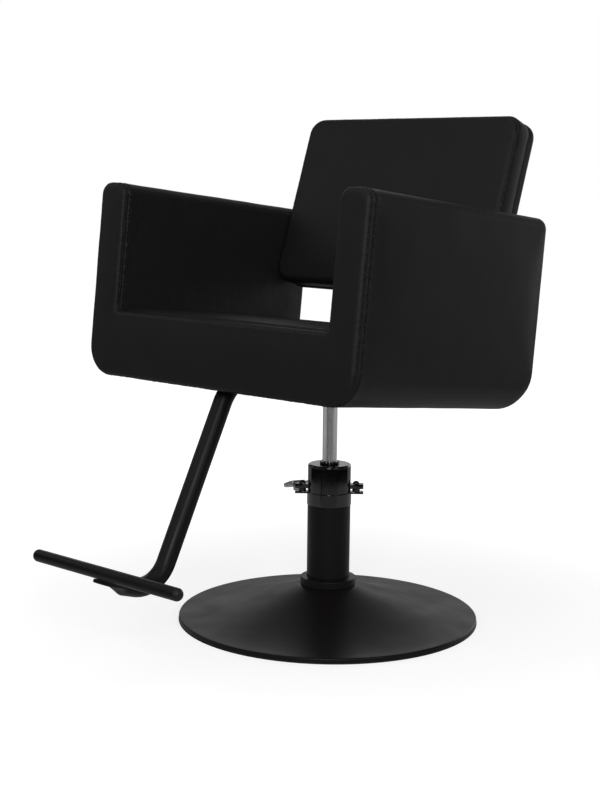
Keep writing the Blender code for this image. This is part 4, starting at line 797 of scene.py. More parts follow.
def grown(name, tree, points, edges, settings, at, outs=()):
    """Runs a node tree on points and edges, and gives its result as a plain object in its place."""
    seed = bpy.data.meshes.new(name)
    seed.from_pydata([tuple(p) for p in points], edges, [])
    if outs:
        ways = seed.attributes.new("out", "FLOAT_VECTOR", "POINT")
        ways.data.foreach_set("vector", [c for way in outs for c in way])
    made = bpy.data.objects.new(name, seed)
    scene.collection.objects.link(made)
    work = made.modifiers.new("grown", "NODES")
    work.node_group = tree
    for socket in tree.interface.items_tree:
        if socket.name in settings:
            work[socket.identifier] = settings[socket.name]
    result = bpy.data.meshes.new_from_object(made.evaluated_get(bpy.context.evaluated_depsgraph_get()))
    result.transform(at)
    made.modifiers.remove(work)
    made.data = result
    return made


BOARD_TOP = 58.7 * MM
TUBE_AXIS = 26.7 * MM
TUBE_OUT = 17 * MM
SADDLE_THICK = 3 * MM
SADDLE_EAR = 20 * MM
SADDLE_MID = -165 * MM
BRACKET_LOW = 37.7 * MM
saddle_x = (TUBE_OUT + GAP + SADDLE_THICK + SADDLE_EAR / 2) / MM
plate_places = [(x, y) for x in (-75, 75) for y in (-60, 60)]
saddle_places = [(x, y) for x in (-saddle_x, saddle_x) for y in (-185, -145)]
saddle_under = TUBE_AXIS + TUBE_OUT - SADDLE_THICK
for name, places, under, nodes in (
    ("plate_bolts", plate_places, PLATE_LOW, [f"plate_bolt_{i}" for i in range(1, 5)]),
    (
        "bracket_bolts",
        [(-95, 123.3), (95, 123.3)],
        BRACKET_LOW,
        ["bracket_bolt_left", "bracket_bolt_right"],
    ),
    ("saddle_bolts", saddle_places, saddle_under, [f"saddle_bolt_{i}" for i in range(1, 5)]),
):
    points = [(x * MM, y * MM, under - GAP) for x, y in places]
    settings = {"Shank length": BOARD_TOP - under, "Finish": zinc}
    bolts = grown(name, bolting, points, [], settings, SEAT)
    bolts.data.set_sharp_from_angle(angle=SHARP)
    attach(bolts, "seat")
    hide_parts(*nodes)

# Seat carcass: birch plywood boards screwed together under the upholstery, raw as they were sawn. Only
# the seat board's underside shows.
VENEER_MM = (9, 160, 9)
ply, tree, shader = new_look("birch_plywood")
# Rotary cut veneer: long pale figure that runs one way, dull and dry
place = add(tree, "ShaderNodeTexCoord").outputs["Object"]
run = add(tree, "ShaderNodeMapping", {"Vector": place, "Scale": [1 / (s * MM) for s in VENEER_MM]})
figure = add(tree, "ShaderNodeTexNoise", {"Vector": run, "Scale": 1.0, "Detail": 5.0, "Distortion": 0.6})
tones = {"Color1": linear("#a57f50"), "Color2": linear("#cdaa78")}
tone = add(tree, "ShaderNodeMixRGB", {"Fac": figure, **tones})
relief = add(tree, "ShaderNodeBump", {"Height": figure, "Distance": 0.1 * MM})
join(tree, shader, {"Base Color": tone, "Normal": relief, "Roughness": 0.7})
dress(ply, "seat_board", "arm_board_left", "arm_board_right", "front_board", "back_board")

# Leatherette: black PVC on a knitted backing, embossed with a pebble grain. It is sewn into covers that
# are pulled tight over foam and stapled to the plywood, and it crinkles where it is pulled less.
PEBBLE_MM = 2.2  # about 1 mm on the real cover, drawn coarser so that it shows
CRINKLE_MM = (24, 24, 34)
CLOUD_MM = 90
PUCKER_MM = (8, 26)
PUCKER_HIGH = 2.2 * MM
PUCKER_REACH = 14 * MM
DIMPLE_DEEP = 0.8 * MM
DIMPLE_WIDE = 1.4 * MM
VALLEY_WIDE = 2 * MM
CREASE_DEEP = 2.4 * MM
PEBBLE_DEEP = 0.16 * MM
STITCH_PITCH = 5.2 * MM
SEAM_ROW = 6 * MM
SEAM_REACH = 30 * MM
leatherette, tree, shader = new_look("embossed_leatherette_black")
place = add(tree, "ShaderNodeTexCoord").outputs["Object"]
pebble = add(
    tree, "ShaderNodeTexVoronoi", {"Vector": place, "Scale": 1 / (PEBBLE_MM * MM)}, feature="SMOOTH_F1"
)
clouds = add(tree, "ShaderNodeTexNoise", {"Vector": place, "Scale": 1 / (CLOUD_MM * MM), "Detail": 5.0})
upward = add(tree, "ShaderNodeMapping", {"Vector": place, "Scale": [1 / (s * MM) for s in CRINKLE_MM]})
crinkle = add(
    tree, "ShaderNodeTexNoise", {"Vector": upward, "Scale": 1.0, "Detail": 1.0, "Distortion": 0.4}
)
slack, near, run, tight = (
    add(tree, "ShaderNodeAttribute", attribute_name=name).outputs["Fac"]
    for name in ("slack", "seam_near", "seam_run", "seam_pull")
)
fold = add(tree, "ShaderNodeMath", {0: crinkle, 1: slack}, operation="MULTIPLY")


def bell(distance, middle, width):
    """A smooth peak where a distance in metres equals the middle."""
    for operation, other in (("SUBTRACT", middle), ("DIVIDE", width), ("POWER", 2.0), ("MULTIPLY", -1.0)):
        distance = add(tree, "ShaderNodeMath", {0: distance, 1: other}, operation=operation)
    return add(tree, "ShaderNodeMath", {0: distance}, operation="EXPONENT")


# Beside a seam each stitch pulls a dimple into the cover, and the tight thread puckers it across
gap = add(tree, "ShaderNodeMapRange", {"Value": near, "To Min": SEAM_REACH, "To Max": 0.0})
beat = add(tree, "ShaderNodeMath", {0: run, 1: 2 * math.pi / STITCH_PITCH}, operation="MULTIPLY")
beat = add(tree, "ShaderNodeMath", {0: beat}, operation="COSINE")
beat = add(tree, "ShaderNodeMath", {0: beat, 1: 0.5, 2: 0.5}, operation="MULTIPLY_ADD")
row = bell(gap, SEAM_ROW, DIMPLE_WIDE)
dimple = add(tree, "ShaderNodeMath", {0: row, 1: beat}, operation="MULTIPLY")
spread = add(tree, "ShaderNodeCombineXYZ", {"X": run, "Y": gap})
ripples = add(
    tree, "ShaderNodeMapping", {"Vector": spread, "Scale": (*(1 / (s * MM) for s in PUCKER_MM), 1.0)}
)
pucker = add(tree, "ShaderNodeTexNoise", {"Vector": ripples, "Scale": 1.0, "Detail": 2.0})
pull = bell(gap, 0.0, PUCKER_REACH)
pull = add(tree, "ShaderNodeMath", {0: pucker, 1: pull}, operation="MULTIPLY")
height = add(tree, "ShaderNodeMath", {0: pull, 1: PUCKER_HIGH}, operation="MULTIPLY")
height = add(tree, "ShaderNodeMath", {0: dimple, 1: -DIMPLE_DEEP, 2: height}, operation="MULTIPLY_ADD")
sewing_bump = add(tree, "ShaderNodeBump", {"Height": height, "Distance": 1.0, "Strength": tight})
# Painted shade: the cover's colour darkens to near black in the stitch dimples and in the seam's valley
shadow = add(tree, "ShaderNodeMath", {0: dimple, 1: tight}, operation="MULTIPLY")
valley = bell(gap, 0.0, VALLEY_WIDE)
shadow = add(tree, "ShaderNodeMath", {0: valley, 1: shadow}, operation="MAXIMUM")
tones = {"Color1": linear("#161618"), "Color2": linear("#1b1b1d")}
tone = add(tree, "ShaderNodeMixRGB", {"Fac": clouds, **tones})
tone = add(tree, "ShaderNodeMixRGB", {"Fac": shadow, "Color1": tone, "Color2": linear("#030303")})
worn = add(
    tree,
    "ShaderNodeMapRange",
    {"Value": pebble, "From Min": 0.0, "From Max": 0.8, "To Min": 0.44, "To Max": 0.56},
)
creased = add(
    tree,
    "ShaderNodeBump",
    {"Height": fold, "Distance": CREASE_DEEP, "Strength": 0.9, "Normal": sewing_bump},
)
grained = add(
    tree,
    "ShaderNodeBump",
    {"Height": pebble, "Distance": PEBBLE_DEEP, "Strength": 0.5, "Normal": creased},
    invert=True,
)
join(tree, shader, {"Base Color": tone, "Roughness": worn, "Normal": grained, "Specular IOR Level": 0.14})
# Thread: twisted polyester, waxed, a little glossier than the cover
thread = finish("waxed_polyester_thread", "#0b0b0b", "#141414", (0.4, 0.55), 8, 0.5, 0.02, shine=0.3)


def corner(before, here, after, radius, steps):
    """The arc that rounds a corner between the points before and after it."""
    here = Vector(here)
    ways = [(Vector(point) - here).normalized() for point in (before, after)]
    half = ways[0].angle(ways[1]) / 2
    middle = here + (ways[0] + ways[1]).normalized() * radius / math.sin(half)
    start, end = (here + way * radius / math.tan(half) - middle for way in ways)
    first = math.degrees(math.atan2(start.y, start.x))
    turn = (math.degrees(math.atan2(end.y, end.x)) - first + 180) % 360 - 180
    return arc(middle, radius, first, first + turn, steps)


def rounded(corners, steps=10):
    """A closed outline whose (x, y, radius) corners become arcs."""
    points = []
    for i, (x, y, radius) in enumerate(corners):
        after = corners[(i + 1) % len(corners)]
        points += corner(corners[i - 1][:2], (x, y), after[:2], radius, steps)
    return points


def evened(shape, kind, settings):
    """The shape after one modifier."""
    raw = blank(shape)
    work = raw.modifiers.new(kind, kind)
    for name, value in settings.items():
        setattr(work, name, value)
    result = bmesh.new()
    result.from_object(raw, bpy.context.evaluated_depsgraph_get())
    bpy.data.meshes.remove(raw.data)
    return result


HELD = 5 * MM  # the strip along a cover's edge that is sewn or stapled down
CLOTH_FRAMES = 20
CLOTH = {
    "vertex_group_mass": "sewn",
    "use_pressure": True,
    "uniform_pressure_force": 4.0,
    "tension_stiffness": 40,
    "compression_stiffness": 40,
    "bending_stiffness": 2,
    "quality": 4,
}
FLAT = 0.985  # a normal's largest part on a flat face, where the cover is free to swell
WAVE_HIGH = 0.5 * MM
WAVE_LONG = 65 * MM


def fitted(pad, form, crown):
    """Lays a pad's points back on its form, and adds the crown of its foam."""
    for vert in pad.verts:
        vert.co = form.find_nearest(vert.co)[0]
    if crown:
        for vert in pad.verts:
            vert.co += crown(vert.co)


def stuffed(shape, held, swell, voxel=5 * MM, crown=None):
    """A cover over foam: an even mesh on the shape, its flat faces blown up as cloth, its edges held."""
    form = BVHTree.FromBMesh(shape)
    pad = evened(shape, "REMESH", {"mode": "VOXEL", "voxel_size": voxel})
    every_way = {"use_axis_x": True, "use_axis_y": True, "use_axis_z": True}
    for _ in range(2):
        bmesh.ops.smooth_vert(pad, verts=pad.verts, factor=0.5, **every_way)
    fitted(pad, form, crown)
    rest = pad.copy()
    mesh = bpy.data.meshes.new("cover")
    pad.to_mesh(mesh)
    cover = bpy.data.objects.new("cover", mesh)
    scene.collection.objects.link(cover)
    sewn = cover.vertex_groups.new(name="sewn")
    fixed = [v.index for v in mesh.vertices if held(v.co) or max(abs(c) for c in v.normal) < FLAT]
    sewn.add(fixed, 1.0, "REPLACE")
    cloth = cover.modifiers.new("cover", "CLOTH")
    for name, value in CLOTH.items():
        setattr(cloth.settings, name, value)
    cloth.settings.effector_weights.gravity = 0
    cloth.collision_settings.use_collision = False
    cloth.point_cache.frame_end = CLOTH_FRAMES
    for number in range(1, CLOTH_FRAMES + 1):
        scene.frame_set(number)
    blown = cover.evaluated_get(bpy.context.evaluated_depsgraph_get()).data
    for vert, after in zip(pad.verts, blown.vertices):
        push = after.co - vert.co
        if push.length > 0:
            vert.co += push * (swell * math.tanh(push.length / swell) / push.length)
    bpy.data.meshes.remove(mesh)
    scene.frame_set(1)
    rest, pad = (evened(half, "SUBSURF", {"levels": 1, "render_levels": 1}) for half in (rest, pad))
    pushes = [after.co - before.co for before, after in zip(rest.verts, pad.verts)]
    pad.free()
    fitted(rest, form, crown)
    rest.normal_update()
    for vert, push in zip(rest.verts, pushes):
        push += vert.normal * (WAVE_HIGH * noise.noise(vert.co / WAVE_LONG))
    for vert, push in zip(rest.verts, pushes):
        vert.co += push
    return rest


WRINKLE = 7 * MM


def sewn_in(shape, loop, steps, pull, depth, width, pucker, reach):
    """Draws a cover in along its closed seam and puckers it beside it, and notes where it runs."""
    seam = [a.lerp(b, i / steps) for a, b in zip(loop, loop[1:] + loop[:1]) for i in range(steps)]
    near = kdtree.KDTree(len(seam))
    runs = [0.0]
    for i, point in enumerate(seam):
        near.insert(point, i)
        runs.append(runs[-1] + (seam[i - 1] - point).length * (i > 0))
    near.balance()
    shape.normal_update()
    close, along, tight = (shape.verts.layers.float.new(f"seam_{word}") for word in ("near", "run", "pull"))
    moves = []
    for vert in shape.verts:
        _, number, gap = near.find(vert.co)
        vert[close] = max(1 - gap / SEAM_REACH, 0)
        vert[along] = runs[number + 1]
        vert[tight] = pull
        if gap < 3 * max(reach, width):
            draw = -depth * math.exp(-((gap / width) ** 2))
            wrinkle = pucker * noise.noise(vert.co / WRINKLE) * math.exp(-((gap / reach) ** 2))
            moves.append((vert, vert.normal * (draw + wrinkle)))
    for vert, move in moves:
        vert.co += move
    return shape


def covered(name, shape, node, at, slack):
    """A padded piece in leatherette; slack tells how loosely it lies at a point, for its crinkles."""
    layer = shape.verts.layers.float.new("slack")
    for vert in shape.verts:
        vert[layer] = slack(vert.co)
    made = piece(name, shape, leatherette, "seat", "leatherette", node, at=at)


def follow(shape, path, lift):
    """The path laid on a shape's surface: places a little above it, and the way out at each."""
    surface = BVHTree.FromBMesh(shape)
    found = [surface.find_nearest(Vector(point)) for point in path]
    return [place + out * lift for place, out, _, _ in found], [out for _, out, _, _ in found]


# Stitches: lockstitches of waxed thread, sewn through both layers at an even pitch. Each shows as a short
# bead along its row, sunk a little at both ends.
stitch_sizes = {"Pitch": STITCH_PITCH, "Length": 3.7 * MM, "Width": 1.1 * MM, "Height": 0.9 * MM}
sewing, sizes = new_group("stitch_row", "Row", stitch_sizes, "Thread", "Stitches")
line = add(sewing, "GeometryNodeMeshToCurve", {"Mesh": sizes["Row"]})
spots = add(sewing, "GeometryNodeCurveToPoints", {"Curve": line, "Length": sizes["Pitch"]}, mode="LENGTH")
forward = add(
    sewing, "FunctionNodeAlignRotationToVector", {"Vector": spots.outputs["Tangent"]}, axis="X"
)
outward = add(sewing, "GeometryNodeInputNamedAttribute", {"Name": "out"}, data_type="FLOAT_VECTOR")
tilt = add(
    sewing,
    "FunctionNodeAlignRotationToVector",
    {"Rotation": forward, "Vector": outward.outputs["Attribute"]},
    axis="Z",
    pivot_axis="X",
)
bead = add(sewing, "GeometryNodeMeshUVSphere", {"Segments": 8, "Rings": 5, "Radius": 0.5})
measure = add(
    sewing, "ShaderNodeCombineXYZ", {"X": sizes["Length"], "Y": sizes["Width"], "Z": sizes["Height"]}
)
shaped = add(sewing, "GeometryNodeTransform", {"Geometry": bead, "Scale": measure})
spread_out(sewing, sizes["Thread"], {"Points": spots, "Instance": shaped, "Rotation": tilt})


STITCH_LIFT = 0.1 * MM


def stitched(name, rows, at):
    """Closed rows of stitches as one piece; each row is its places and its ways out."""
    points, outs, edges = [], [], []
    for places, ways in rows:
        first = len(points)
        points += places
        outs += ways
        edges += [(i, i + 1) for i in range(first, len(points) - 1)]
        edges += [(len(points) - 1, first)]
    made = grown(name, sewing, points, edges, {"Thread": thread}, at, outs)
    made.data.shade_smooth()
    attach(made, "seat")
    return made


# Front panel: a U of foam glued to plywood under a leatherette cover, which is sewn to the arms' covers
# just behind its rolled edge and stapled inside.
FRONT_FACE = -330 * MM
FRONT_BACK = -316.15 * MM
SHELL_HALF = 330 * MM
ARM_IN = 264 * MM
ARM_TOP = 360.5 * MM
ARM_LOW_ROUND = 57 * MM
ARM_TOP_ROUND = 22 * MM
SILL = 123 * MM
SILL_CORNER = 9 * MM
FACE_ROLL = 10.5 * MM
SEAM_ROLL = 2.5 * MM
ARM_SEAM = (1.0, 0, 4 * MM, 0.9 * MM, 9 * MM)


def front_outline(inset):
    """The panel's U in (x, z), drawn in by the inset."""
    out, inner = SHELL_HALF - inset, ARM_IN + inset
    low, top, sill = inset, ARM_TOP - inset, SILL - inset
    foot, shoulder, crook = ARM_LOW_ROUND - inset, ARM_TOP_ROUND - inset, SILL_CORNER + inset
    half = [(out, low, foot), (out, top, shoulder), (inner, top, shoulder), (inner, sill, crook)]
    return rounded(half + [(-x, z, radius) for x, z, radius in reversed(half)])


roll = arc((0, 0), 1, 0, 90, 5)


def rolled(radius, face, way):
    """Insets and places round an edge that is rolled to a radius, out to its face."""
    return [(radius * (1 - x), face + way * radius * (1 - y)) for x, y in roll]


def faced(outline, rows):
    """A pad whose outline in (x, z) is drawn in by the inset at each y."""
    return lofted([[(x, y, z) for x, z in outline(inset)] for inset, y in rows])


front_rows = [(SEAM_ROLL * (1 - y), FRONT_BACK - SEAM_ROLL * (1 - x)) for x, y in roll]
front_shape = faced(front_outline, front_rows + rolled(FACE_ROLL, FRONT_FACE, 1))
front = stuffed(front_shape, lambda co: co.y > FRONT_BACK - HELD, 3 * MM)
front_seam = [Vector((x, FRONT_BACK, z)) for x, z in front_outline(0)]
front = sewn_in(front, front_seam, 40, *ARM_SEAM)


# Arms: plywood cheeks padded with foam and crowned outwards. Their covers are closed at the rear, and in
# front they are sewn to the front panel's.
ARM_FRONT = -315.85 * MM
ARM_REAR = 195 * MM
ARM_OUT = 329.5 * MM
ARM_REAR_LOW = 42 * MM
ARM_REAR_TOP = 14 * MM
ARM_REAR_EDGE = 14 * MM
ARM_CROWN = 2.5 * MM
ARM_SEAM_ROLL = 6.5 * MM
ARM_HEEL = 4 * MM
ARM_SLACK = 0.5
ARM_SLACK_RISE = 1.2
ARM_INSIDE = 6 * MM
TIGHT = 0.05


def eased(distance, radius):
    """How far a round of this radius has drawn in at a distance past its start."""
    distance = min(max(distance, 0), radius)
    return radius - math.sqrt(radius**2 - distance**2)


def arm_outline(inset):
    """The arm's front view in (x, z), drawn in by the inset."""
    inner, out = ARM_IN + inset, ARM_OUT - inset
    low, top = inset, ARM_TOP - inset
    foot, shoulder, heel = ARM_LOW_ROUND - inset, ARM_TOP_ROUND - inset, ARM_HEEL
    return rounded([(inner, low, heel), (out, low, foot), (out, top, shoulder), (inner, top, shoulder)])


def arm_row(y):
    """The arm's section at y."""
    rise = eased(y - ARM_REAR + ARM_REAR_LOW, ARM_REAR_LOW)
    drop = eased(y - ARM_REAR + ARM_REAR_TOP, ARM_REAR_TOP)
    draw = eased(y - ARM_REAR + ARM_REAR_EDGE, ARM_REAR_EDGE)
    middle, half = (ARM_IN + ARM_OUT) / 2, (ARM_OUT - ARM_IN) / 2
    share = 1 - (2 * (y - ARM_FRONT) / (ARM_REAR - ARM_FRONT) - 1) ** 2
    row = []
    for x, z in arm_outline(eased(ARM_FRONT + ARM_SEAM_ROLL - y, ARM_SEAM_ROLL)):
        out = (x - middle) / half
        puff = ARM_CROWN * max(out, 0) * share * (1 - (2 * z / ARM_TOP - 1) ** 2)
        row.append((middle + out * (half - draw) + puff, y, rise + z * (ARM_TOP - drop - rise) / ARM_TOP))
    return row


arm_stations = [ARM_FRONT + ARM_SEAM_ROLL * (1 - math.cos(QUARTER * i / 5)) for i in range(6)]
arm_straight = ARM_REAR - ARM_REAR_LOW - arm_stations[-1]
arm_stations += [arm_stations[-1] + arm_straight * i / 20 for i in range(1, 21)]
arm_stations += [ARM_REAR - ARM_REAR_LOW * (1 - math.sin(QUARTER * i / 12)) for i in range(1, 13)]
arm_shape = lofted([arm_row(y) for y in arm_stations])
arm = stuffed(arm_shape, lambda co: co.y < ARM_FRONT + HELD, 3 * MM)
arm_seam = [Vector((x, ARM_FRONT, z)) for x, z in arm_outline(0)]
arm = sewn_in(arm, arm_seam, 40, *ARM_SEAM)
arm_stitches, front_stitches = (
    follow(pad, [(x, row, z) for x, z in arm_outline(0)], STITCH_LIFT)
    for pad, row in ((arm, ARM_FRONT + SEAM_ROW), (front, FRONT_BACK - SEAM_ROW))
)
covered("front_panel_cover", front, "front_pad", SEAT, slack=lambda co: 0.04)


def arm_slack(co):
    """An arm's cover is loose on its inner side, more so towards the front."""
    return ARM_SLACK - ARM_SLACK_RISE * co.y if abs(co.x) < ARM_IN + ARM_INSIDE else TIGHT


MIRROR = Matrix.Scale(-1, 4, (1, 0, 0))
for side, word in SIDES:
    node = f"arm_pad_{word}"
    pad = arm.copy()
    if side < 0:
        bmesh.ops.transform(pad, matrix=MIRROR, verts=pad.verts)
        bmesh.ops.reverse_faces(pad, faces=pad.faces)
    covered(f"{node}_cover", pad, node, SEAT, slack=arm_slack)
arm.free()
seam_rows = []
for side in (1, -1):
    for row in (arm_stitches, front_stitches):
        seam_rows.append([[point * Vector((side, 1, 1)) for point in points] for points in row])
stitched("arm_seam_stitches", seam_rows, SEAT)


# Seam allowance: the two covers' turned edges, sewn through and folded back. They fill the bottom of the
# valley between arm and panel in the darker thread finish, so they also draw the seam's dark line as
# painted shade.
def swept(path, outs, radius, sides=8):
    """A thin tube along a closed path on a surface."""
    rows = []
    for i, (point, out) in enumerate(zip(path, outs)):
        ahead = (path[(i + 1) % len(path)] - path[i - 1]).normalized()
        beside = ahead.cross(out).normalized()
        upward = beside.cross(ahead)
        turns = [2 * math.pi * j / sides for j in range(sides)]
        rows.append([point + (upward * math.cos(a) + beside * math.sin(a)) * radius for a in turns])
    return lofted(rows, closed=True)


WELT_RADIUS = 1.4 * MM
WELT_DEEP = 3 * MM
for side, word in SIDES:
    loop = [Vector((side * x, (FRONT_BACK + ARM_FRONT) / 2, z)) for x, z in arm_outline(WELT_DEEP)]
    middle = Vector((side * (ARM_IN + ARM_OUT) / 2, loop[0].y, ARM_TOP / 2))
    welt = swept(loop, [p - middle for p in loop], WELT_RADIUS)
    piece(f"arm_seam_{word}", welt, thread, "seat", "leatherette", at=SEAT)

# Seat cushion: a foam block in a boxed leatherette cover, crowned on top and squeezed between the arms. It
# lies loose on the seat board, and its top is sewn to the side strip.
CUSHION_HALF_X = 263 * MM
CUSHION_FRONT = -315.7 * MM
CUSHION_REAR = 161 * MM
CUSHION_LOW = 59.4 * MM
CUSHION_TOP = 127 * MM
CUSHION_ROLL = 11 * MM
CUSHION_CORNER = 13 * MM
CUSHION_CROWN = 6 * MM
CUSHION_WAIST = 2 * MM
CUSHION_SEAM = (0.3, 1.5 * MM, 2.5 * MM, 0.2 * MM, 8 * MM)
CUSHION_SEAM_DROP = 3 * MM
CUSHION_SEAM_IN = 4 * MM
CROWN_REACH = 55 * MM
cushion_half_y = (CUSHION_REAR - CUSHION_FRONT) / 2
cushion_mid_y = (CUSHION_REAR + CUSHION_FRONT) / 2


def cushion_outline(inset):
    outline = round_corners(CUSHION_HALF_X - inset, cushion_half_y - inset, CUSHION_CORNER)
    return [(x, y + cushion_mid_y) for x, y in outline]


def crown_share(*insets):
    """How far the foam has risen at these distances in from a cushion's edges."""
    return math.prod(1 - math.exp(-max(inset, 0) / CROWN_REACH) for inset in insets)


def cushion_crown(co):
    """The rise of the foam away from the cushion's edges."""
    full = crown_share(CUSHION_HALF_X - abs(co.x), cushion_half_y - abs(co.y - cushion_mid_y))
    high = min(max((co.z - CUSHION_LOW) / (CUSHION_TOP - CUSHION_LOW), 0), 1)
    return Vector((0, 0, CUSHION_CROWN * full * high))


cushion_rows = [(0, CUSHION_LOW), (CUSHION_WAIST, (CUSHION_LOW + CUSHION_TOP - CUSHION_ROLL) / 2)]
cushion_rows += rolled(CUSHION_ROLL, CUSHION_TOP, -1)
cushion_shape = lofted([[(x, y, z) for x, y in cushion_outline(inset)] for inset, z in cushion_rows])
cushion = stuffed(cushion_shape, lambda co: co.z < CUSHION_LOW + 6 * MM, 1.5 * MM, 6 * MM, cushion_crown)
seam_z = CUSHION_TOP - CUSHION_SEAM_DROP
cushion_seam = [Vector((x, y, seam_z)) for x, y in cushion_outline(CUSHION_SEAM_IN)]
cushion = sewn_in(cushion, cushion_seam, 60, *CUSHION_SEAM)
covered("seat_cushion_cover", cushion, "seat_cushion", SEAT, slack=lambda co: 0.2)

# Rear panel: a thin padded board in the same leatherette, stapled inside. It closes the seat between the
# arms.
REAR_HALF_X = 263 * MM
REAR_LOW = 24 * MM
REAR_TOP = 120 * MM
REAR_FRONT = 171.8 * MM
REAR_FACE = 195 * MM
REAR_ROLL = 8 * MM
REAR_CORNER = 9 * MM


def rear_outline(inset):
    half_z, mid_z = (REAR_TOP - REAR_LOW) / 2, (REAR_TOP + REAR_LOW) / 2
    return [(x, z + mid_z) for x, z in round_corners(REAR_HALF_X - inset, half_z - inset, REAR_CORNER)]


rear_shape = faced(rear_outline, [(0, REAR_FRONT)] + rolled(REAR_ROLL, REAR_FACE, -1))
rear_pad = stuffed(rear_shape, lambda co: co.y < REAR_FRONT + 4 * MM, 2.5 * MM)
covered("rear_panel_cover", rear_pad, "rear_panel", SEAT, slack=lambda co: TIGHT)

# Backrest: a boxed cushion on a board, its front sewn to the side strip with a row of stitches on each
# side of the seam, and a thin padded cover closing its rear.
BACK = SEAT @ Matrix.Translation((0, 92 * MM, 210 * MM)) @ Matrix.Rotation(math.radians(-12.1), 4, "X")
BACK_HALF_X = 262.5 * MM
BACK_HALF_Z = 174.5 * MM
BACK_CORNER = 33 * MM
BACK_DEPTH = 46 * MM
BACK_ROLL = 13 * MM
BACK_CROWN = 7 * MM
BACK_SEAM = 4 * MM
BACK_DRAW = (0.3, 2 * MM, 2.6 * MM, 0.3 * MM, 8 * MM)
BACK_SIDE = ((2.5 * MM, 1), (0.4 * MM, 0.75), (0, 0.55))
FACE_ROW = (9 * MM, -1 * MM)
SIDE_ROW = (0, 11 * MM)
BACK_WELT = 1.1 * MM
BACK_WELT_DEEP = 1.6 * MM


def back_outline(inset):
    outline = round_corners(BACK_HALF_X - inset, BACK_HALF_Z - inset, BACK_CORNER - inset)
    return [(x, z + BACK_HALF_Z) for x, z in outline]


def back_crown(co):
    """The swell of the foam away from the backrest's edges."""
    full = crown_share(BACK_HALF_X - abs(co.x), BACK_HALF_Z - abs(co.z - BACK_HALF_Z))
    forward = min(max(1 - co.y / BACK_DEPTH, 0), 1)
    return Vector((0, -BACK_CROWN * full * forward, 0))


back_rows = [(inset, share * BACK_DEPTH) for inset, share in BACK_SIDE]
back_shape = faced(back_outline, back_rows + rolled(BACK_ROLL, 0, 1))
back = stuffed(back_shape, lambda co: co.y > BACK_DEPTH - 6 * MM, 3 * MM, crown=back_crown)
back_line, back_out = follow(back, [(x, BACK_SEAM, z) for x, z in back_outline(1 * MM)], 0)
back = sewn_in(back, back_line, 20, *BACK_DRAW)
back_stitches = [
    follow(back, [(x, y, z) for x, z in back_outline(inset)], STITCH_LIFT)
    for inset, y in (FACE_ROW, SIDE_ROW)
]
stitched("back_seam_stitches", back_stitches, BACK)
# The seam allowance lies sunk in the valley in the darker thread finish, drawing the seam's dark line:
# partly painted shade
sunk = [point - out * BACK_WELT_DEEP for point, out in zip(back_line, back_out)]
piece("back_seam_allowance_shade", swept(sunk, back_out, BACK_WELT), thread, "seat", "leatherette", at=BACK)
covered("back_cushion_cover", back, "back_cushion", BACK, slack=lambda co: 0.03)

COVER_FRONT = 46.4 * MM
COVER_REAR = 61 * MM
COVER_ROLL = 5 * MM
COVER_EASE = 1.5 * MM
CHANNEL_HALF = 20.5 * MM
CHANNEL_DEEP = 53 * MM
CHANNEL_EDGE = 0.5 * MM
BRACKET_X = 95 * MM
BRACKET_RISE = 160 * MM
cover_rows = [(COVER_EASE, COVER_FRONT), (0, COVER_FRONT + COVER_EASE)]
cover_shape = faced(back_outline, cover_rows + rolled(COVER_ROLL, COVER_REAR, -1))
cover = stuffed(cover_shape, lambda co: co.y < COVER_FRONT + 4 * MM, 3 * MM)
for side in (-1, 1):
    low = (side * BRACKET_X - CHANNEL_HALF, 0.03, -0.05)
    high = (side * BRACKET_X + CHANNEL_HALF, CHANNEL_DEEP, BRACKET_RISE + CHANNEL_EDGE)
    cover = combine(cover, box(low, high, CHANNEL_EDGE), "DIFFERENCE")
covered("back_rear_cover", cover, "back_cover", BACK, slack=lambda co: TIGHT)

# Back brackets: two flat steel straps, powder coated, cranked from under the seat board up behind the
# backrest and bolted at both ends.
BRACKET_THICK = 6 * MM
BRACKET_WIDTH = 40 * MM
BRACKET_BEND = 12 * MM
BRACKET_EDGE = 0.8 * MM
BRACKET_PATH = ((98.3, 40.7), (168.3, 40.7), (168.3, 130))
BRACKET_KNEE = -14 * MM
BRACKET_BEHIND = 49.3 * MM


def bent(points, radius, steps=8):
    """An open line whose corners are bent to a radius."""
    line = [Vector(points[0])]
    for before, here, after in zip(points, points[1:], points[2:]):
        line += [Vector(point) for point in corner(before, here, after, radius, steps)]
    return line + [Vector(points[-1])]


def heading(line, i):
    """The way a line runs at one of its points."""
    return (line[min(i + 1, len(line) - 1)] - line[max(i - 1, 0)]).normalized()


bracket_points = [(y * MM, z * MM) for y, z in BRACKET_PATH]
for rise in (BRACKET_KNEE, BRACKET_RISE):
    point = SEAT.inverted() @ BACK @ Vector((0, BRACKET_BEHIND, rise))
    bracket_points.append((point.y, point.z))
middle_line = bent(bracket_points, BRACKET_BEND)
left_edge, right_edge = [], []
for i, point in enumerate(middle_line):
    ahead = heading(middle_line, i)
    beside = Vector((-ahead.y, ahead.x)) * BRACKET_THICK / 2
    left_edge.append(tuple(point + beside))
    right_edge.append(tuple(point - beside))
ON_SIDE = Matrix(((0, 0, 1, 0), (1, 0, 0, 0), (0, 1, 0, 0), (0, 0, 0, 1)))
for side, word in SIDES:
    strap = slab(left_edge + right_edge[::-1], -BRACKET_WIDTH / 2, BRACKET_WIDTH / 2, BRACKET_EDGE)
    place = SEAT @ Matrix.Translation((side * BRACKET_X, 0, 0)) @ ON_SIDE
    node = f"back_bracket_{word}"
    piece(f"cranked_bracket_{word}", strap, powder_coat, "seat", "satin_powder_coat", node, at=place)
    dress(zinc, f"back_bolt_{word}")

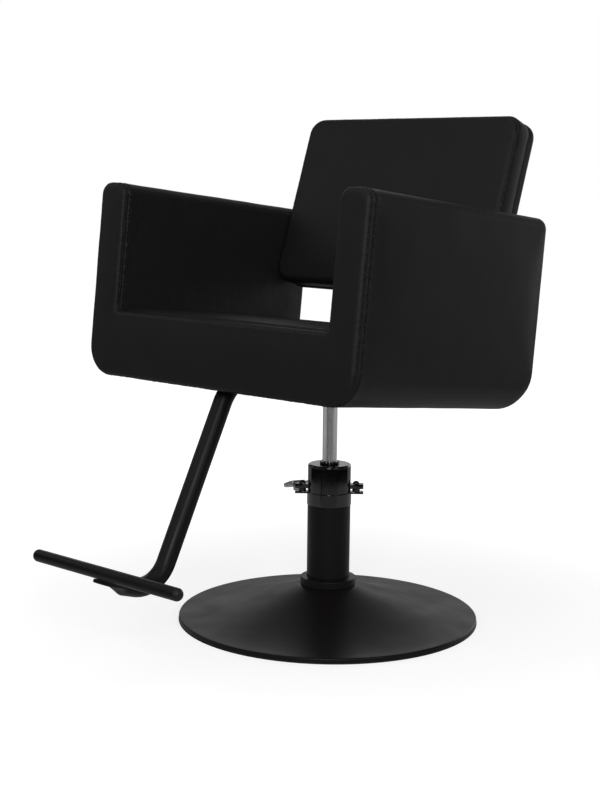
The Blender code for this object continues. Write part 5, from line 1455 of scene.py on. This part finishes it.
# Footrest: one steel tube, bent twice and pressed flat into a tongue under a cross bar with plastic
# ends. A pressed saddle holds it under the seat board.
TUBE_START = (-95 * MM, TUBE_AXIS)
TUBE_CORNER = Vector((-272 * MM, TUBE_AXIS))
TUBE_LEAN = math.radians(20.6)
TUBE_BENDS = (75 * MM, 62 * MM)
TUBE_SIDES = 40
TONGUE_SLOPE = math.radians(10.5)
TONGUE_HALF_X = 23 * MM
TONGUE_HALF = 3.5 * MM
TONGUE_BACK = 23 * MM
TONGUE_TIP = 3 * MM
TONGUE_SQUARE = 0.75
TONGUE_EDGE = 0.8 * MM
FLATTENING = 22 * MM
BAR_CENTRE = Vector((-533 * MM, -312 * MM))
BAR_OUT = 11 * MM
BAR_IN = 9 * MM
BAR_HALF = 176 * MM
BAR_EDGE = 0.2 * MM
CAP_LENGTH = 10 * MM
CAP_PLUG = 14 * MM
tongue_way = Vector((-math.cos(TONGUE_SLOPE), math.sin(TONGUE_SLOPE)))
tongue_up = Vector((math.sin(TONGUE_SLOPE), math.cos(TONGUE_SLOPE)))
under_bar = BAR_CENTRE - tongue_up * (BAR_OUT + GAP + TONGUE_HALF)
run_way = Vector((-math.sin(TUBE_LEAN), -math.cos(TUBE_LEAN)))
gap = under_bar - TUBE_CORNER
lower_corner = TUBE_CORNER + run_way * (gap.cross(tongue_way) / run_way.cross(tongue_way))
tube_line = bent([TUBE_START, TUBE_CORNER, lower_corner], TUBE_BENDS[0], 16)[:-1]
tube_line += bent([TUBE_CORNER, lower_corner, under_bar], TUBE_BENDS[1], 16)[1:-1]
flat_end = under_bar - tongue_way * TONGUE_BACK
flat_start = flat_end - tongue_way * FLATTENING
tube_line += [flat_start.lerp(flat_end, i / 10) for i in range(11)]
tube_line += [under_bar + tongue_way * reach for reach in (TONGUE_TIP - TONGUE_EDGE, TONGUE_TIP)]
tube_rows = []
for i, centre in enumerate(tube_line):
    ahead = heading(tube_line, i)
    upward = Vector((-ahead.y, ahead.x))
    share = min(max((centre - flat_start).dot(tongue_way) / FLATTENING, 0), 1)
    flat = share * share * (3 - 2 * share)
    half_x = TUBE_OUT + (TONGUE_HALF_X - TUBE_OUT) * flat
    half_up = TUBE_OUT + (TONGUE_HALF - TUBE_OUT) * flat
    if i == len(tube_line) - 1:
        half_x, half_up = half_x - TONGUE_EDGE, half_up - TONGUE_EDGE
    row = []
    for x, rise in arc((0, 0), 1, 0, 360, TUBE_SIDES)[:-1]:
        square = 1 + flat * (1 / max(abs(x), abs(rise)) - 1) * TONGUE_SQUARE
        spot = centre + upward * half_up * rise * square
        row.append((half_x * x * square, spot.x, spot.y))
    tube_rows.append(row)
tube = lofted(tube_rows)
piece("bent_footrest_tube", tube, powder_coat, "seat", "satin_powder_coat", "footrest_tube", at=SEAT)

BAR_PLACE = SEAT @ Matrix.Translation((0, *BAR_CENTRE))
bar = turned(ring(BAR_IN, BAR_OUT, -BAR_HALF, BAR_HALF, BAR_EDGE), 64)
place = BAR_PLACE @ Matrix.Rotation(QUARTER, 4, "Y")
piece("foot_bar_tube", bar, powder_coat, "seat", "satin_powder_coat", "foot_bar", at=place)
# Moulded nylon: fine even spark texture from the mould, slightly duller than the coated steel
nylon = finish("moulded_nylon_black", "#121212", "#171718", (0.45, 0.55), 30, 0.9, 0.02, shine=0.25)
for side, word in SIDES:
    foot, plug_end = BAR_HALF + GAP, BAR_HALF - CAP_PLUG
    cap = [(BAR_OUT * x, foot + (CAP_LENGTH - GAP) * z) for x, z in arc((0, 0), 1, 90, 0, 12)]
    cap[0] = (0, BAR_HALF + CAP_LENGTH)
    cap += [(BAR_IN - GAP, foot), (BAR_IN - GAP, plug_end), (0, plug_end)]
    place = BAR_PLACE @ Matrix.Rotation(side * QUARTER, 4, "Y")
    cap = turned(cap, 64)
    piece(f"nylon_bar_end_{word}", cap, nylon, "seat", "black_plastic", f"bar_cap_{word}", at=place)

SADDLE_HALF = 35 * MM
SADDLE_EDGE = 0.6 * MM
saddle_in = TUBE_OUT + GAP
saddle_out = saddle_in + SADDLE_THICK
saddle_reach = saddle_out + SADDLE_EAR
ear_low = TUBE_OUT - SADDLE_THICK
saddle_outline = [(saddle_reach, TUBE_OUT), (saddle_in, TUBE_OUT)]
saddle_outline += arc((0, 0), saddle_in, 0, -180, 24)
saddle_outline += [(-saddle_in, TUBE_OUT), (-saddle_reach, TUBE_OUT)]
saddle_outline += [(-saddle_reach, ear_low), (-saddle_out, ear_low)]
saddle_outline += arc((0, 0), saddle_out, -180, 0, 24)
saddle_outline += [(saddle_out, ear_low), (saddle_reach, ear_low)]
saddle = slab(saddle_outline, -SADDLE_HALF, SADDLE_HALF, SADDLE_EDGE)
place = SEAT @ Matrix.Translation((0, SADDLE_MID, TUBE_AXIS)) @ UPRIGHT
piece("pressed_saddle", saddle, powder_coat, "seat", "satin_powder_coat", "footrest_saddle", at=place)
